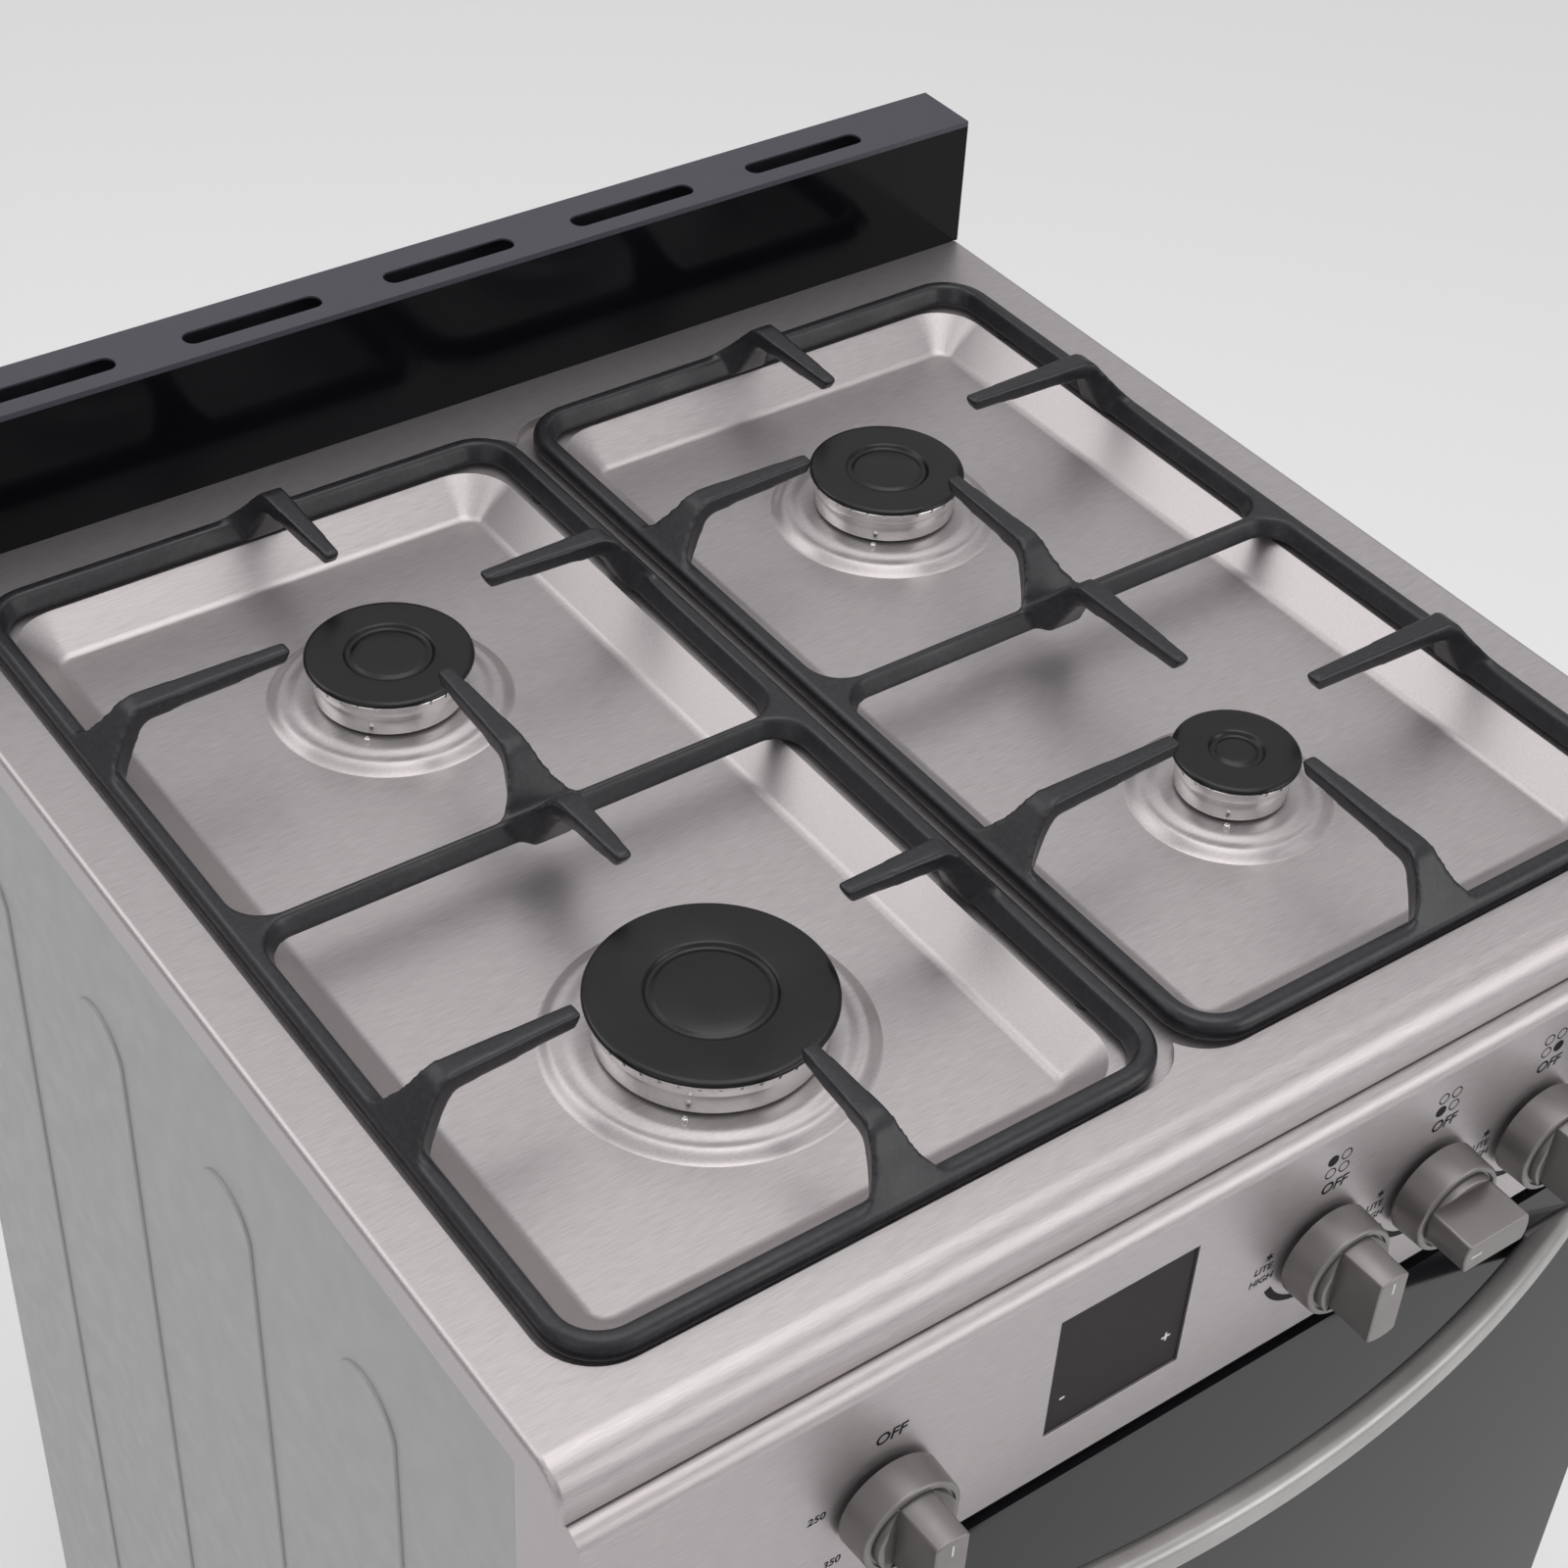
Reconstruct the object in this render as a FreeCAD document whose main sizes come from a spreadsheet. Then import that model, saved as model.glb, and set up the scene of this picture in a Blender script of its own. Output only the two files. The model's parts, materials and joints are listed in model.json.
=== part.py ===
"""A compact gas range: stamped steel deck with two cast pan supports, four sealed burners, an oven
with a drop-down door and a storage drawer. Millimetres, +Z up, front towards -Y, origin on the floor
under the middle of the whole object. Lengths along Y are first counted from the seam under the deck's
front edge; each finished piece is then moved by the same amount to put the origin in the middle."""
import math
import os

import FreeCAD, Part
import Sketcher

DRIVING_SIZES = {
    # overall
    "deck_height": 914, "deck_width": 606, "deck_depth": 566, "body_inset": 3, "body_front": 33,
    "sheet_gauge": 1.2, "side_flange": 20, "running_gap": 0.3, "shaft_gap": 0.05,
    # feet
    "foot_height": 25, "foot_radius": 17, "foot_inset": 45, "foot_stem_radius": 5, "foot_top_radius": 13.6,
    "foot_pad_height": 11,
    # side panel ribs
    "rib_width": 43, "rib_pitch": 115, "rib_first": 140, "rib_proud": 1.5, "rib_drop": 89, "rib_foot": 110,
    "rib_round": 1.2,
    # deck
    "nose_drop": 22, "nose_radius": 15, "edge_radius": 3, "flange_drop": 17,
    "rim_margin": 24.7, "rim_front": 31, "rim_back_margin": 30, "rim_radius": 26, "rim_step": 5,
    "well_inset": 14, "well_land": 18, "well_depth": 20, "well_radius": 24, "well_draft": 48,
    "well_bottom_radius": 7, "dome_rise": 4, "dome_margin": 16, "dome_slope": 9,
    "ridge_rise": 2.6, "ridge_width": 5.5, "ridge_dip": 0.5,
    # burners
    "burner_shift": 5, "burner_front_y": 158.5, "burner_back_margin": 126, "cap_rise": 5.5, "cap_edge": 4.5,
    "small_cap": 28, "middle_cap": 37, "large_cap": 50, "cap_overhang": 4, "cap_dish": 0.42,
    "cap_dish_depth": 1.4, "cap_low_round": 2, "dish_slope": 2, "dish_groove": 2, "dish_rise": 3,
    "dish_step": 0.5, "base_depth": 20, "base_wall": 7, "cup_inset": 1, "cup_floor": 4, "cup_wall": 3,
    "head_wall": 4, "port_count": 16, "port_width": 2.2, "port_height": 3.2, "port_inset": 1.5,
    "port_margin": 1, "electrode_radius": 1.6, "electrode_gap": 4.4, "electrode_drop": 3,
    "ceramic_radius": 3, "ceramic_drop": 12, "ceramic_rise": 4,
    # pan supports
    "grate_gap": 9, "grate_play": 2.8, "grate_front": 33, "grate_back_play": 4, "grate_radius": 25,
    "bar_width": 12, "bar_top": 7, "bar_bottom": 2.5, "bar_bevel": 2.5, "bar_draft": 24,
    "bevel_draft": 45, "crossbar_shift": 0.5, "root_offset": 1.8, "pad_inset": 6.6,
    "finger_top": 28.7, "finger_depth": 9, "finger_width": 11, "finger_tip_width": 7, "finger_flare": 54,
    "finger_climb": 24, "flare_radius": 26, "neck_before": 2, "neck_after": 4, "neck_drop": 4,
    "neck_radius": 8, "crown_before": 7, "crown_after": 2, "crown_drop": 4, "crown_radius": 12,
    "tip_reach": 10, "tip_slope": 3, "tip_lift": 2, "tip_round": 1.5, "grate_pad_radius": 4,
    # backguard
    "guard_depth": 37, "guard_rise": 70, "guard_glass": 4, "guard_lip": 3, "guard_foot": 9,
    "guard_slot_length": 70, "guard_slot_width": 11, "guard_slot_back": 15.5, "guard_slot_pitch": 104,
    "guard_slot_round": 5, "guard_inset": 18, "back_cover_depth": 21, "back_cover_foot": 70,
    "vent_width": 60, "vent_height": 7, "vent_pitch": 26, "vent_spread": 96, "vent_drop": 312,
    # control panel
    "panel_face": 8, "panel_top_gap": 1, "panel_height": 121, "panel_round": 8, "stem_hole": 6.5,
    "window_gap": 71, "window_drop": 51, "window_size": 68, "window_lap": 4, "window_glass": 2.5,
    # knobs and valves
    "knob_margin": 70.5, "knob_pitch": 60.5, "oven_knob_margin": 131, "knob_drop": 95, "knob_radius": 22.5,
    "knob_skirt": 15, "knob_draft": 0.6, "knob_lip": 1.3, "knob_disc_radius": 18, "knob_disc_rise": 3.5,
    "knob_disc_round": 1, "knob_groove": 1.3, "grip_width": 15, "grip_rise": 18, "crescent_depth": 4,
    "knob_gap": 2.9,
    "push_travel": 2.5, "stem_radius": 4, "stem_into_knob": 12, "stem_into_valve": 16,
    "valve_front": 8, "valve_width": 26, "valve_height": 26, "valve_neck": 10, "manifold_radius": 8,
    "manifold_y": 62, "inlet_pipe_radius": 6.8, "thermostat_width": 40, "bracket_left": 100,
    "bracket_right": 200, "tube_radius": 4, "tube_spacing": 1, "tube_setback": 22,
    # front rails and door
    "rail_height": 14, "rail_drop": 2, "door_gap": 9, "door_bottom": 284, "door_side_gap": 1,
    "door_glass": 4, "door_back": 26, "door_inset": 3, "door_window_margin": 38, "door_window_low": 110,
    "door_window_high": 330, "door_window_lap": 14, "seal_width": 9, "pivot_back": 14, "pivot_rise": 12,
    "pivot_radius": 4, "hinge_margin": 47, "hinge_arm": 5, "hinge_cheek": 4, "cheek_height": 40,
    "cheek_reach": 6, "arm_half_height": 7, "notch_side": 1,
    # oven
    "liner_margin": 72, "liner_back_margin": 103, "liner_floor_rise": 54, "liner_roof_drop": 53,
    "floor_rise": 48, "guide_roof_gap": 48, "guide_first": 120, "guide_reach": 8, "guide_height": 4,
    "rack_rod": 3, "rack_bar": 2.25, "rack_bars": 13, "lamp_radius": 20, "oven_burner_radius": 11,
    "flue_half_width": 110, "flue_thick": 12, "guide_margin": 30, "rack_margin": 24, "floor_margin": 6,
    "floor_slot_length": 60, "floor_slot_width": 8, "floor_slot_first": 80, "floor_slot_pitch": 60,
    "oven_burner_front": 40, "oven_burner_back": 50, "stand_width": 24, "stand_thick": 4, "stand_front": 60,
    "stand_back": 100, "spark_box_width": 30, "spark_box_depth": 80, "spark_box_height": 40,
    "spark_box_gap": 10,
    # handle
    "handle_reach": 49, "handle_margin": 77, "handle_drop": 188, "handle_height": 17,
    "handle_thick": 14, "handle_tip": 2.9, "handle_round": 4.5, "mount_width": 30, "mount_margin": 0.6,
    "mount_thick": 1.5,
    # drawer
    "drawer_bottom": 102, "drawer_gap": 10, "drawer_thick": 18, "drawer_margin": 45,
    "drawer_floor": 112, "drawer_wall": 118, "drawer_back_margin": 96, "slide_width": 14, "slide_height": 9,
    "slide_rise": 58, "toe_setback": 52, "toe_gap": 5, "slide_short": 10, "runner_wall": 6, "finger_lip": 12,
    # gas inlet
    "inlet_radius": 10.65, "inlet_bore": 7.455, "inlet_boss": 11.2, "inlet_length": 20, "inlet_margin": 42,
    "regulator_radius": 24, "regulator_drop": 16.8, "regulator_height": 38.4,
}


class Size:
    """A dimension that knows its value and the formula that it comes from."""

    def __init__(self, value, text):
        self.value = float(value)
        self.text = text

    def __add__(self, other):
        return Size(self.value + number(other), f"({self.text} + {formula(other)})")

    def __radd__(self, other):
        return Size(number(other) + self.value, f"({formula(other)} + {self.text})")

    def __sub__(self, other):
        return Size(self.value - number(other), f"({self.text} - {formula(other)})")

    def __rsub__(self, other):
        return Size(number(other) - self.value, f"({formula(other)} - {self.text})")

    def __mul__(self, other):
        return Size(self.value * number(other), f"({self.text} * {formula(other)})")

    __rmul__ = __mul__

    def __truediv__(self, other):
        return Size(self.value / number(other), f"({self.text} / {formula(other)})")

    def __neg__(self):
        return Size(-self.value, f"(0 - {self.text})")


def number(size):
    return size.value if isinstance(size, Size) else float(size)


def formula(size):
    return size.text if isinstance(size, Size) else f"({float(size):.6f})"


doc = FreeCAD.newDocument("compact_gas_range")
sheet = doc.addObject("Spreadsheet::Sheet", "Sizes")


class Sizes:
    """Every driving size by name, each bound to its own cell of the sheet."""


for row, (alias, millimetres) in enumerate(DRIVING_SIZES.items(), start=1):
    sheet.set(f"A{row}", alias)
    sheet.set(f"B{row}", str(millimetres))
    sheet.setAlias(f"B{row}", alias)
    setattr(Sizes, alias, Size(millimetres, f"Sizes.{alias}"))
doc.recompute()
s = Sizes

nodes = []
OVERCUT = 1
TOUCH = 0.01
ARC_EASE = 1.02
FORWARD = (s.handle_reach - s.deck_depth - s.guard_depth) / 2
UPRIGHT = FreeCAD.Rotation()
ALONG = {"X": FreeCAD.Rotation(FreeCAD.Vector(0, 1, 0), 90),
         "Y": FreeCAD.Rotation(FreeCAD.Vector(1, 0, 0), -90),
         "-Y": FreeCAD.Rotation(FreeCAD.Vector(1, 0, 0), 90),
         "Z": UPRIGHT}


def bind(item, name, size):
    item.setExpression(name, formula(size))


def place(item, x=0, y=0, z=0, rotation=UPRIGHT):
    item.Placement = FreeCAD.Placement(FreeCAD.Vector(), rotation)
    for axis, size in zip("xyz", (x, y, z)):
        bind(item, f"Placement.Base.{axis}", size)
    return item


def box(name, x, y, z):
    """A block between a low and a high value along each axis."""
    item = doc.addObject("Part::Box", name)
    for side, (low, high) in zip(("Length", "Width", "Height"), (x, y, z)):
        bind(item, side, high - low)
    return place(item, x[0], y[0], z[0])


def rod(name, along, start, radius, length):
    item = doc.addObject("Part::Cylinder", name)
    bind(item, "Radius", radius)
    bind(item, "Height", length)
    return place(item, *start, rotation=ALONG[along])


def cone(name, start, low_radius, high_radius, height):
    item = doc.addObject("Part::Cone", name)
    bind(item, "Radius1", low_radius)
    bind(item, "Radius2", high_radius)
    bind(item, "Height", height)
    return place(item, *start)


def fuse(name, *items):
    item = doc.addObject("Part::MultiFuse", name)
    item.Shapes = list(items)
    item.Refine = True
    return item


def cut(name, base, *tools):
    item = doc.addObject("Part::Cut", name)
    item.Base = base
    item.Tool = tools[0] if len(tools) == 1 else fuse(f"{name}_tools", *tools)
    return item


def common(name, first, second):
    item = doc.addObject("Part::Common", name)
    item.Base = first
    item.Tool = second
    return item


def group(name, *items):
    """Separate solids of one kind that share a node."""
    item = doc.addObject("Part::Compound", name)
    item.Links = list(items)
    return item


def node(label, item, x=0, y=0, z=0, rotation=UPRIGHT):
    """Finish a sub-part: name it and move it from the seam's frame to the object's."""
    item.Label = label
    place(item, x, FORWARD + y, z, rotation)
    nodes.append(item)
    return item


def new_body(name):
    return doc.addObject("PartDesign::Body", name)


def new_sketch(body, role, offset=None):
    sketch = body.newObject("Sketcher::SketchObject", f"{body.Name}_sketch")
    plane = next(item for item in body.Origin.OriginFeatures if item.Role == role)
    sketch.AttachmentSupport = [(plane, "")]
    sketch.MapMode = "FlatFace"
    if offset is not None:
        bind(sketch, "AttachmentOffset.Base.z", offset)
    return sketch


def limit(sketch, kind, ends, size):
    index = sketch.addConstraint(Sketcher.Constraint(kind, *ends, number(size)))
    if isinstance(size, Size):
        sketch.setExpression(f"Constraints[{index}]", size.text)


def arc_middle(start, end, radius):
    """The middle point of an arc from start to end; a positive radius turns left."""
    chord = end - start
    half = chord.Length / 2
    rise = abs(radius) - math.sqrt(max(radius * radius - half * half, 0))
    side = FreeCAD.Vector(chord.y, -chord.x, 0).normalize()
    return (start + end) / 2 + side * math.copysign(rise, radius)


def outline(sketch, points):
    """A closed line through points (x, y); a third value is the radius of the arc that ends there."""
    corners = [FreeCAD.Vector(number(point[0]), number(point[1]), 0) for point in points]
    first = sketch.GeometryCount
    count = len(points)
    ends = []
    for index, point in enumerate(points):
        start = corners[index - 1]
        end = corners[index]
        radius = number(point[2]) if len(point) == 3 else None
        ends.append((2, 1) if radius is not None and radius < 0 else (1, 2))
        if radius is None:
            curve = Part.LineSegment(start, end)
        elif radius > 0:
            curve = Part.Arc(start, arc_middle(start, end, radius), end)
        else:
            curve = Part.Arc(end, arc_middle(start, end, radius), start)
        sketch.addGeometry(curve, False)
    for index, point in enumerate(points):
        here = (first + index, ends[index][1])
        after = (index + 1) % count
        sketch.addConstraint(Sketcher.Constraint("Coincident", *here, first + after, ends[after][0]))
        limit(sketch, "DistanceX", (-1, 1) + here, point[0])
        limit(sketch, "DistanceY", (-1, 1) + here, point[1])
        if len(point) == 3:
            radius = point[2] if number(point[2]) > 0 else -point[2]
            limit(sketch, "Radius", (first + index,), radius)


def rounded(x, y, radius):
    """Corner points of a rectangle with four round corners."""
    (left, right), (front, back) = x, y
    return [(right - radius, front), (right, front + radius, radius),
            (right, back - radius), (right - radius, back, radius),
            (left + radius, back), (left, back - radius, radius),
            (left, front + radius), (left + radius, front, radius)]


def pad(body, sketch, length, draft=None, down=False):
    feature = body.newObject("PartDesign::Pad", f"{body.Name}_pad")
    feature.Profile = sketch
    bind(feature, "Length", length)
    if draft is not None:
        bind(feature, "TaperAngle", draft)
    feature.Reversed = down
    return feature


def soften(body, feature, radius, choose):
    """Round the edges of the feature that the test picks."""
    doc.recompute()
    names = [f"Edge{index}" for index, edge in enumerate(feature.Shape.Edges, start=1) if choose(edge)]
    fillet = body.newObject("PartDesign::Fillet", f"{body.Name}_round")
    fillet.Base = (feature, names)
    bind(fillet, "Radius", radius)
    return fillet


def plate(name, role, points, start, thickness):
    """A flat piece: an outline on an origin plane, pushed along the plane's normal."""
    body = new_body(name)
    sketch = new_sketch(body, role, start)
    outline(sketch, points)
    pad(body, sketch, thickness)
    return body


def turned(name, points):
    """A piece turned about its own Z axis from a half section of (radius, height) points."""
    body = new_body(name)
    sketch = new_sketch(body, "XZ_Plane")
    outline(sketch, points)
    feature = body.newObject("PartDesign::Revolution", f"{name}_turn")
    feature.Profile = sketch
    feature.ReferenceAxis = (sketch, ["V_Axis"])
    feature.Angle = 360
    return body


def both_sides(half):
    return (-half, half)


HALF_DECK = s.deck_width / 2
HALF_BODY = HALF_DECK - s.body_inset
RIM_HALF = HALF_DECK - s.rim_margin
RIM_BACK = s.deck_depth - s.rim_back_margin
GRATE_HALF = RIM_HALF - s.grate_play
GRATE_BACK = RIM_BACK - s.grate_back_play
CROSSBAR_Y = (s.grate_front + GRATE_BACK) / 2 - s.crossbar_shift
BURNER_X = (GRATE_HALF + s.grate_gap / 2) / 2 - s.burner_shift
BURNER_BACK = GRATE_BACK - s.burner_back_margin
DOOR_HALF = HALF_BODY - s.door_side_gap
LINER_HALF = HALF_BODY - s.liner_margin
DRAWER_HALF = HALF_BODY - s.drawer_margin
DRAWER_BACK = s.deck_depth - s.drawer_back_margin
INLET_X = HALF_BODY - s.inlet_margin
FLOOR_TOP = s.foot_height + s.sheet_gauge
SIDE_BACK = s.deck_depth - s.sheet_gauge - s.running_gap
FLOOR = s.deck_height - s.well_depth
DOME_TOP = FLOOR + s.dome_rise
WELL_UNDER = FLOOR - s.sheet_gauge
LEDGE = s.deck_height - s.rim_step
PANEL_TOP = s.deck_height - s.nose_drop - s.panel_top_gap
PANEL_BOTTOM = PANEL_TOP - s.panel_height
KNOB_LEVEL = s.deck_height - s.knob_drop
DOOR_TOP = PANEL_BOTTOM - s.door_gap
DRAWER_TOP = s.door_bottom - s.drawer_gap
KNOB_FIRST = HALF_BODY - s.knob_margin - 3 * s.knob_pitch
KNOBS = {"rear_left": KNOB_FIRST, "front_left": KNOB_FIRST + s.knob_pitch,
         "front_right": KNOB_FIRST + 2 * s.knob_pitch, "rear_right": KNOB_FIRST + 3 * s.knob_pitch,
         "oven": s.oven_knob_margin - HALF_BODY}
BURNERS = {"rear_left": (-BURNER_X, BURNER_BACK, s.middle_cap),
           "rear_right": (BURNER_X, BURNER_BACK, s.middle_cap),
           "front_left": (-BURNER_X, s.burner_front_y, s.large_cap),
           "front_right": (BURNER_X, s.burner_front_y, s.small_cap)}
DIAGONAL = math.sqrt(0.5)


def side_panels():
    """A folded steel pan with pressed upright ribs; the right one mirrors the left one."""
    high = s.deck_height - s.sheet_gauge
    outer = box("side_outer", (-HALF_BODY, s.side_flange - HALF_BODY), (s.body_front, SIDE_BACK),
                (FLOOR_TOP, high))
    inner = box("side_hollow", (s.sheet_gauge - HALF_BODY, 2 * s.side_flange - HALF_BODY),
                (s.body_front + s.sheet_gauge, SIDE_BACK - s.sheet_gauge),
                (FLOOR_TOP + s.sheet_gauge, high - s.sheet_gauge))
    half = s.rib_width / 2
    low = FLOOR_TOP + s.rib_foot
    top = s.deck_height - s.rib_drop - half
    ribs = new_body("side_rib")
    sketch = new_sketch(ribs, "YZ_Plane", -HALF_BODY - s.rib_proud)
    arch = half * ARC_EASE
    outline(sketch, [(s.rib_first + half, low, arch), (s.rib_first + half, top),
                     (s.rib_first - half, top, arch), (s.rib_first - half, low)])
    first = pad(ribs, sketch, s.rib_proud)
    face = number(-HALF_BODY - s.rib_proud) + TOUCH
    soften(ribs, first, s.rib_round, lambda edge: edge.BoundBox.XMax < face)
    copies = [ribs]
    for index in range(1, 4):
        copy = doc.addObject("Part::Mirroring", f"side_rib_{index}")
        copy.Source = copies[-1]
        copy.Normal = (0, 1, 0)
        bind(copy, "Base.y", s.rib_first + s.rib_pitch * (index - 0.5))
        copies.append(copy)
    left = node("left_side_panel", fuse("left_side", cut("side_pan", outer, inner), *copies))
    right = doc.addObject("Part::Mirroring", "right_side")
    right.Source = left
    right.Normal = (1, 0, 0)
    right.Label = "right_side_panel"
    nodes.append(right)


def base_and_feet():
    inside = HALF_BODY - s.side_flange
    floor = box("base_floor", both_sides(HALF_BODY), (s.body_front, s.deck_depth),
                (s.foot_height, FLOOR_TOP))
    lips = [box(f"base_lip_{index}", both_sides(inside - s.running_gap), (low, low + s.sheet_gauge),
                (FLOOR_TOP, FLOOR_TOP + s.side_flange))
            for index, low in enumerate((s.body_front, s.deck_depth - s.sheet_gauge))]
    node("base_pan", fuse("base", floor, *lips))
    feet = []
    for x in (s.foot_inset - HALF_BODY, HALF_BODY - s.foot_inset):
        for y in (s.body_front + s.foot_inset, s.deck_depth - s.foot_inset):
            name = f"foot_{len(feet)}"
            cup = cone(f"{name}_pad", (x, y, 0), s.foot_radius, s.foot_top_radius, s.foot_pad_height)
            stem = rod(f"{name}_stem", "Z", (x, y, 0), s.foot_stem_radius, s.foot_height)
            feet.append(fuse(name, cup, stem))
    node("levelling_feet", group("feet", *feet))


def pan_tool(name, x, y, top, depth, radius, draft, bottom_radius=None):
    """The space pressed out of the deck: a round-cornered tray that narrows downwards."""
    body = new_body(name)
    sketch = new_sketch(body, "XY_Plane", top)
    outline(sketch, rounded(x, y, radius))
    tray = pad(body, sketch, depth, draft, down=True)
    if bottom_radius is not None:
        low = number(top - depth)
        soften(body, tray, bottom_radius, lambda edge: edge.BoundBox.ZMax < low + TOUCH)
    return body


def deck_spaces(name, grow):
    """The two grate recesses and the two wells, larger by the sheet's thickness for the under side."""
    spaces = []
    for side in (-1, 1):
        rim = sorted((-s.edge_radius * side, RIM_HALF * side), key=number)
        well = sorted((s.well_land * side, (RIM_HALF - s.well_inset) * side), key=number)
        tag = f"{name}_{'left' if side < 0 else 'right'}"
        spaces.append(pan_tool(f"{tag}_rim", (rim[0] - grow, rim[1] + grow),
                               (s.rim_front - grow, RIM_BACK + grow), s.deck_height, s.rim_step + grow,
                               s.rim_radius + grow, 0))
        spaces.append(pan_tool(f"{tag}_well", (well[0] - grow, well[1] + grow),
                               (s.rim_front + s.well_inset - grow, RIM_BACK - s.well_inset + grow),
                               s.deck_height - s.rim_step, s.well_depth - s.rim_step + grow,
                               s.well_radius + grow, -s.well_draft, s.well_bottom_radius))
    return spaces


def head_radius(cap):
    return cap - s.cap_overhang


def deck():
    """A stamped sheet with a rolled front nose, two wells and a raised dome under each burner."""
    half = HALF_DECK
    low = s.deck_height - s.nose_drop
    body = new_body("deck_block")
    sketch = new_sketch(body, "XY_Plane", low)
    outline(sketch, [(half, 0), (half, s.deck_depth), (-half, s.deck_depth), (-half, 0)])
    block = pad(body, sketch, s.nose_drop)
    top = number(s.deck_height) - TOUCH
    block = soften(body, block, s.nose_radius,
                   lambda edge: edge.BoundBox.ZMin > top and edge.BoundBox.YMax < TOUCH)
    soften(body, block, s.edge_radius,
           lambda edge: edge.BoundBox.ZMin > top and edge.BoundBox.XLength < TOUCH)
    gauge = s.sheet_gauge
    hollow_body = new_body("deck_hollow")
    sketch = new_sketch(hollow_body, "XY_Plane", low - gauge)
    outline(sketch, [(half - gauge, gauge), (half - gauge, s.deck_depth - gauge),
                     (gauge - half, s.deck_depth - gauge), (gauge - half, gauge)])
    hollow = pad(hollow_body, sketch, s.nose_drop)
    under = top - number(gauge)
    soften(hollow_body, hollow, s.nose_radius - gauge,
           lambda edge: edge.BoundBox.ZMin > under and edge.BoundBox.YMax < number(gauge) + TOUCH)
    tools = deck_spaces("space", 0)
    shell = cut("deck_shell", body, cut("deck_cavity", hollow_body, *deck_spaces("under", gauge)))
    pressed = cut("deck_pressed", shell, *tools)
    domes = []
    holes = []
    for name, (x, y, cap) in BURNERS.items():
        reach = cap + s.dome_margin
        ridge = FLOOR + s.ridge_rise
        inner = reach - s.dome_slope
        dome = turned(f"dome_{name}", [(0, FLOOR - gauge / 2), (reach, FLOOR - gauge / 2), (reach, FLOOR),
                                       (reach - s.ridge_rise, ridge), (reach - s.ridge_width, ridge),
                                       (reach - s.ridge_width - s.ridge_dip, ridge - s.ridge_dip),
                                       (inner, DOME_TOP), (0, DOME_TOP)])
        domes.append(place(dome, x, y, 0))
        holes.append(rod(f"burner_hole_{name}", "Z", (x, y, FLOOR - 2 * gauge),
                         head_radius(cap) - s.base_wall, s.dome_rise + 3 * gauge))
        holes.append(rod(f"spark_hole_{name}", "Z", electrode_place(x, y, cap) + (FLOOR - 2 * gauge,),
                         s.ceramic_radius + s.running_gap, s.dome_rise + 3 * gauge))
    for side in (-1, 1):
        edge = sorted((side * (half - 2 * gauge), side * (half + gauge)), key=number)
        holes.append(box(f"flange_trim_{side + 1}", edge, (s.nose_radius, s.deck_depth + gauge),
                         (low - gauge, s.deck_height - s.flange_drop)))
    node("cooktop_deck", cut("deck", fuse("deck_domes", pressed, *domes), *holes))


def electrode_place(x, y, cap):
    away = (head_radius(cap) + s.electrode_gap) * DIAGONAL
    return (x - away, y - away)


def burners():
    """Cup under the deck, slotted head above it, spark pin beside it and loose cap on top."""
    cups = []
    heads = []
    pins = []
    cup_low = WELL_UNDER - s.base_depth
    top = s.deck_height + s.cap_rise - s.cap_edge
    for name, (x, y, cap) in BURNERS.items():
        radius = head_radius(cap)
        neck = radius - s.base_wall - s.running_gap
        cups.append(cut(f"cup_{name}",
                        rod(f"cup_block_{name}", "Z", (x, y, cup_low), radius - s.cup_inset, s.base_depth),
                        rod(f"cup_bore_{name}", "Z", (x, y, cup_low + s.cup_floor), neck - s.cup_wall,
                            s.base_depth)))
        inner = neck - s.head_wall
        band = radius - s.port_inset
        sill = top - s.port_height - s.port_margin
        ring = turned(f"head_{name}", [(inner, WELL_UNDER), (neck, WELL_UNDER), (neck, DOME_TOP),
                                       (radius, DOME_TOP), (radius, sill - s.port_margin), (band, sill),
                                       (band, top), (inner, top)])
        slot = box(f"port_{name}", both_sides(s.port_width / 2), (inner - OVERCUT, radius + OVERCUT),
                   (top - s.port_height, top))
        slots = ring_of(f"ports_{name}", slot, s.port_count)
        head = cut(f"slotted_head_{name}", ring, slots)
        place(head, x, y, 0)
        heads.append(head)
        spot = electrode_place(x, y, cap)
        ceramic = rod(f"ceramic_{name}", "Z", spot + (WELL_UNDER - s.ceramic_drop,), s.ceramic_radius,
                      s.ceramic_drop + s.sheet_gauge + s.dome_rise + s.ceramic_rise)
        wire = rod(f"spark_pin_{name}", "Z", spot + (DOME_TOP,), s.electrode_radius,
                   top - DOME_TOP - s.electrode_drop)
        pins.append(fuse(f"electrode_{name}", ceramic, wire))
        node(f"burner_cap_{name}", cap_lid(name, cap), x, y, s.deck_height)
    node("burner_bases", group("cups", *cups))
    node("burner_heads", group("heads", *heads))
    node("igniter_electrodes", group("electrodes", *pins))


def cap_lid(name, cap):
    """A round-edged disc with a ring-shaped dip in its top."""
    high = s.cap_rise
    low = high - s.cap_edge
    lower = s.cap_low_round
    upper = s.cap_edge - lower
    dish = cap * s.cap_dish
    groove = dish - s.dish_slope
    button = groove - s.dish_groove
    return turned(f"cap_{name}", [(0, low), (cap - lower, low), (cap, low + lower, lower * ARC_EASE),
                                  (cap - upper, high, upper * ARC_EASE), (dish, high),
                                  (groove, high - s.cap_dish_depth), (button, high - s.cap_dish_depth),
                                  (button - s.dish_rise, high - s.dish_step), (0, high - s.dish_step)])


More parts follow.
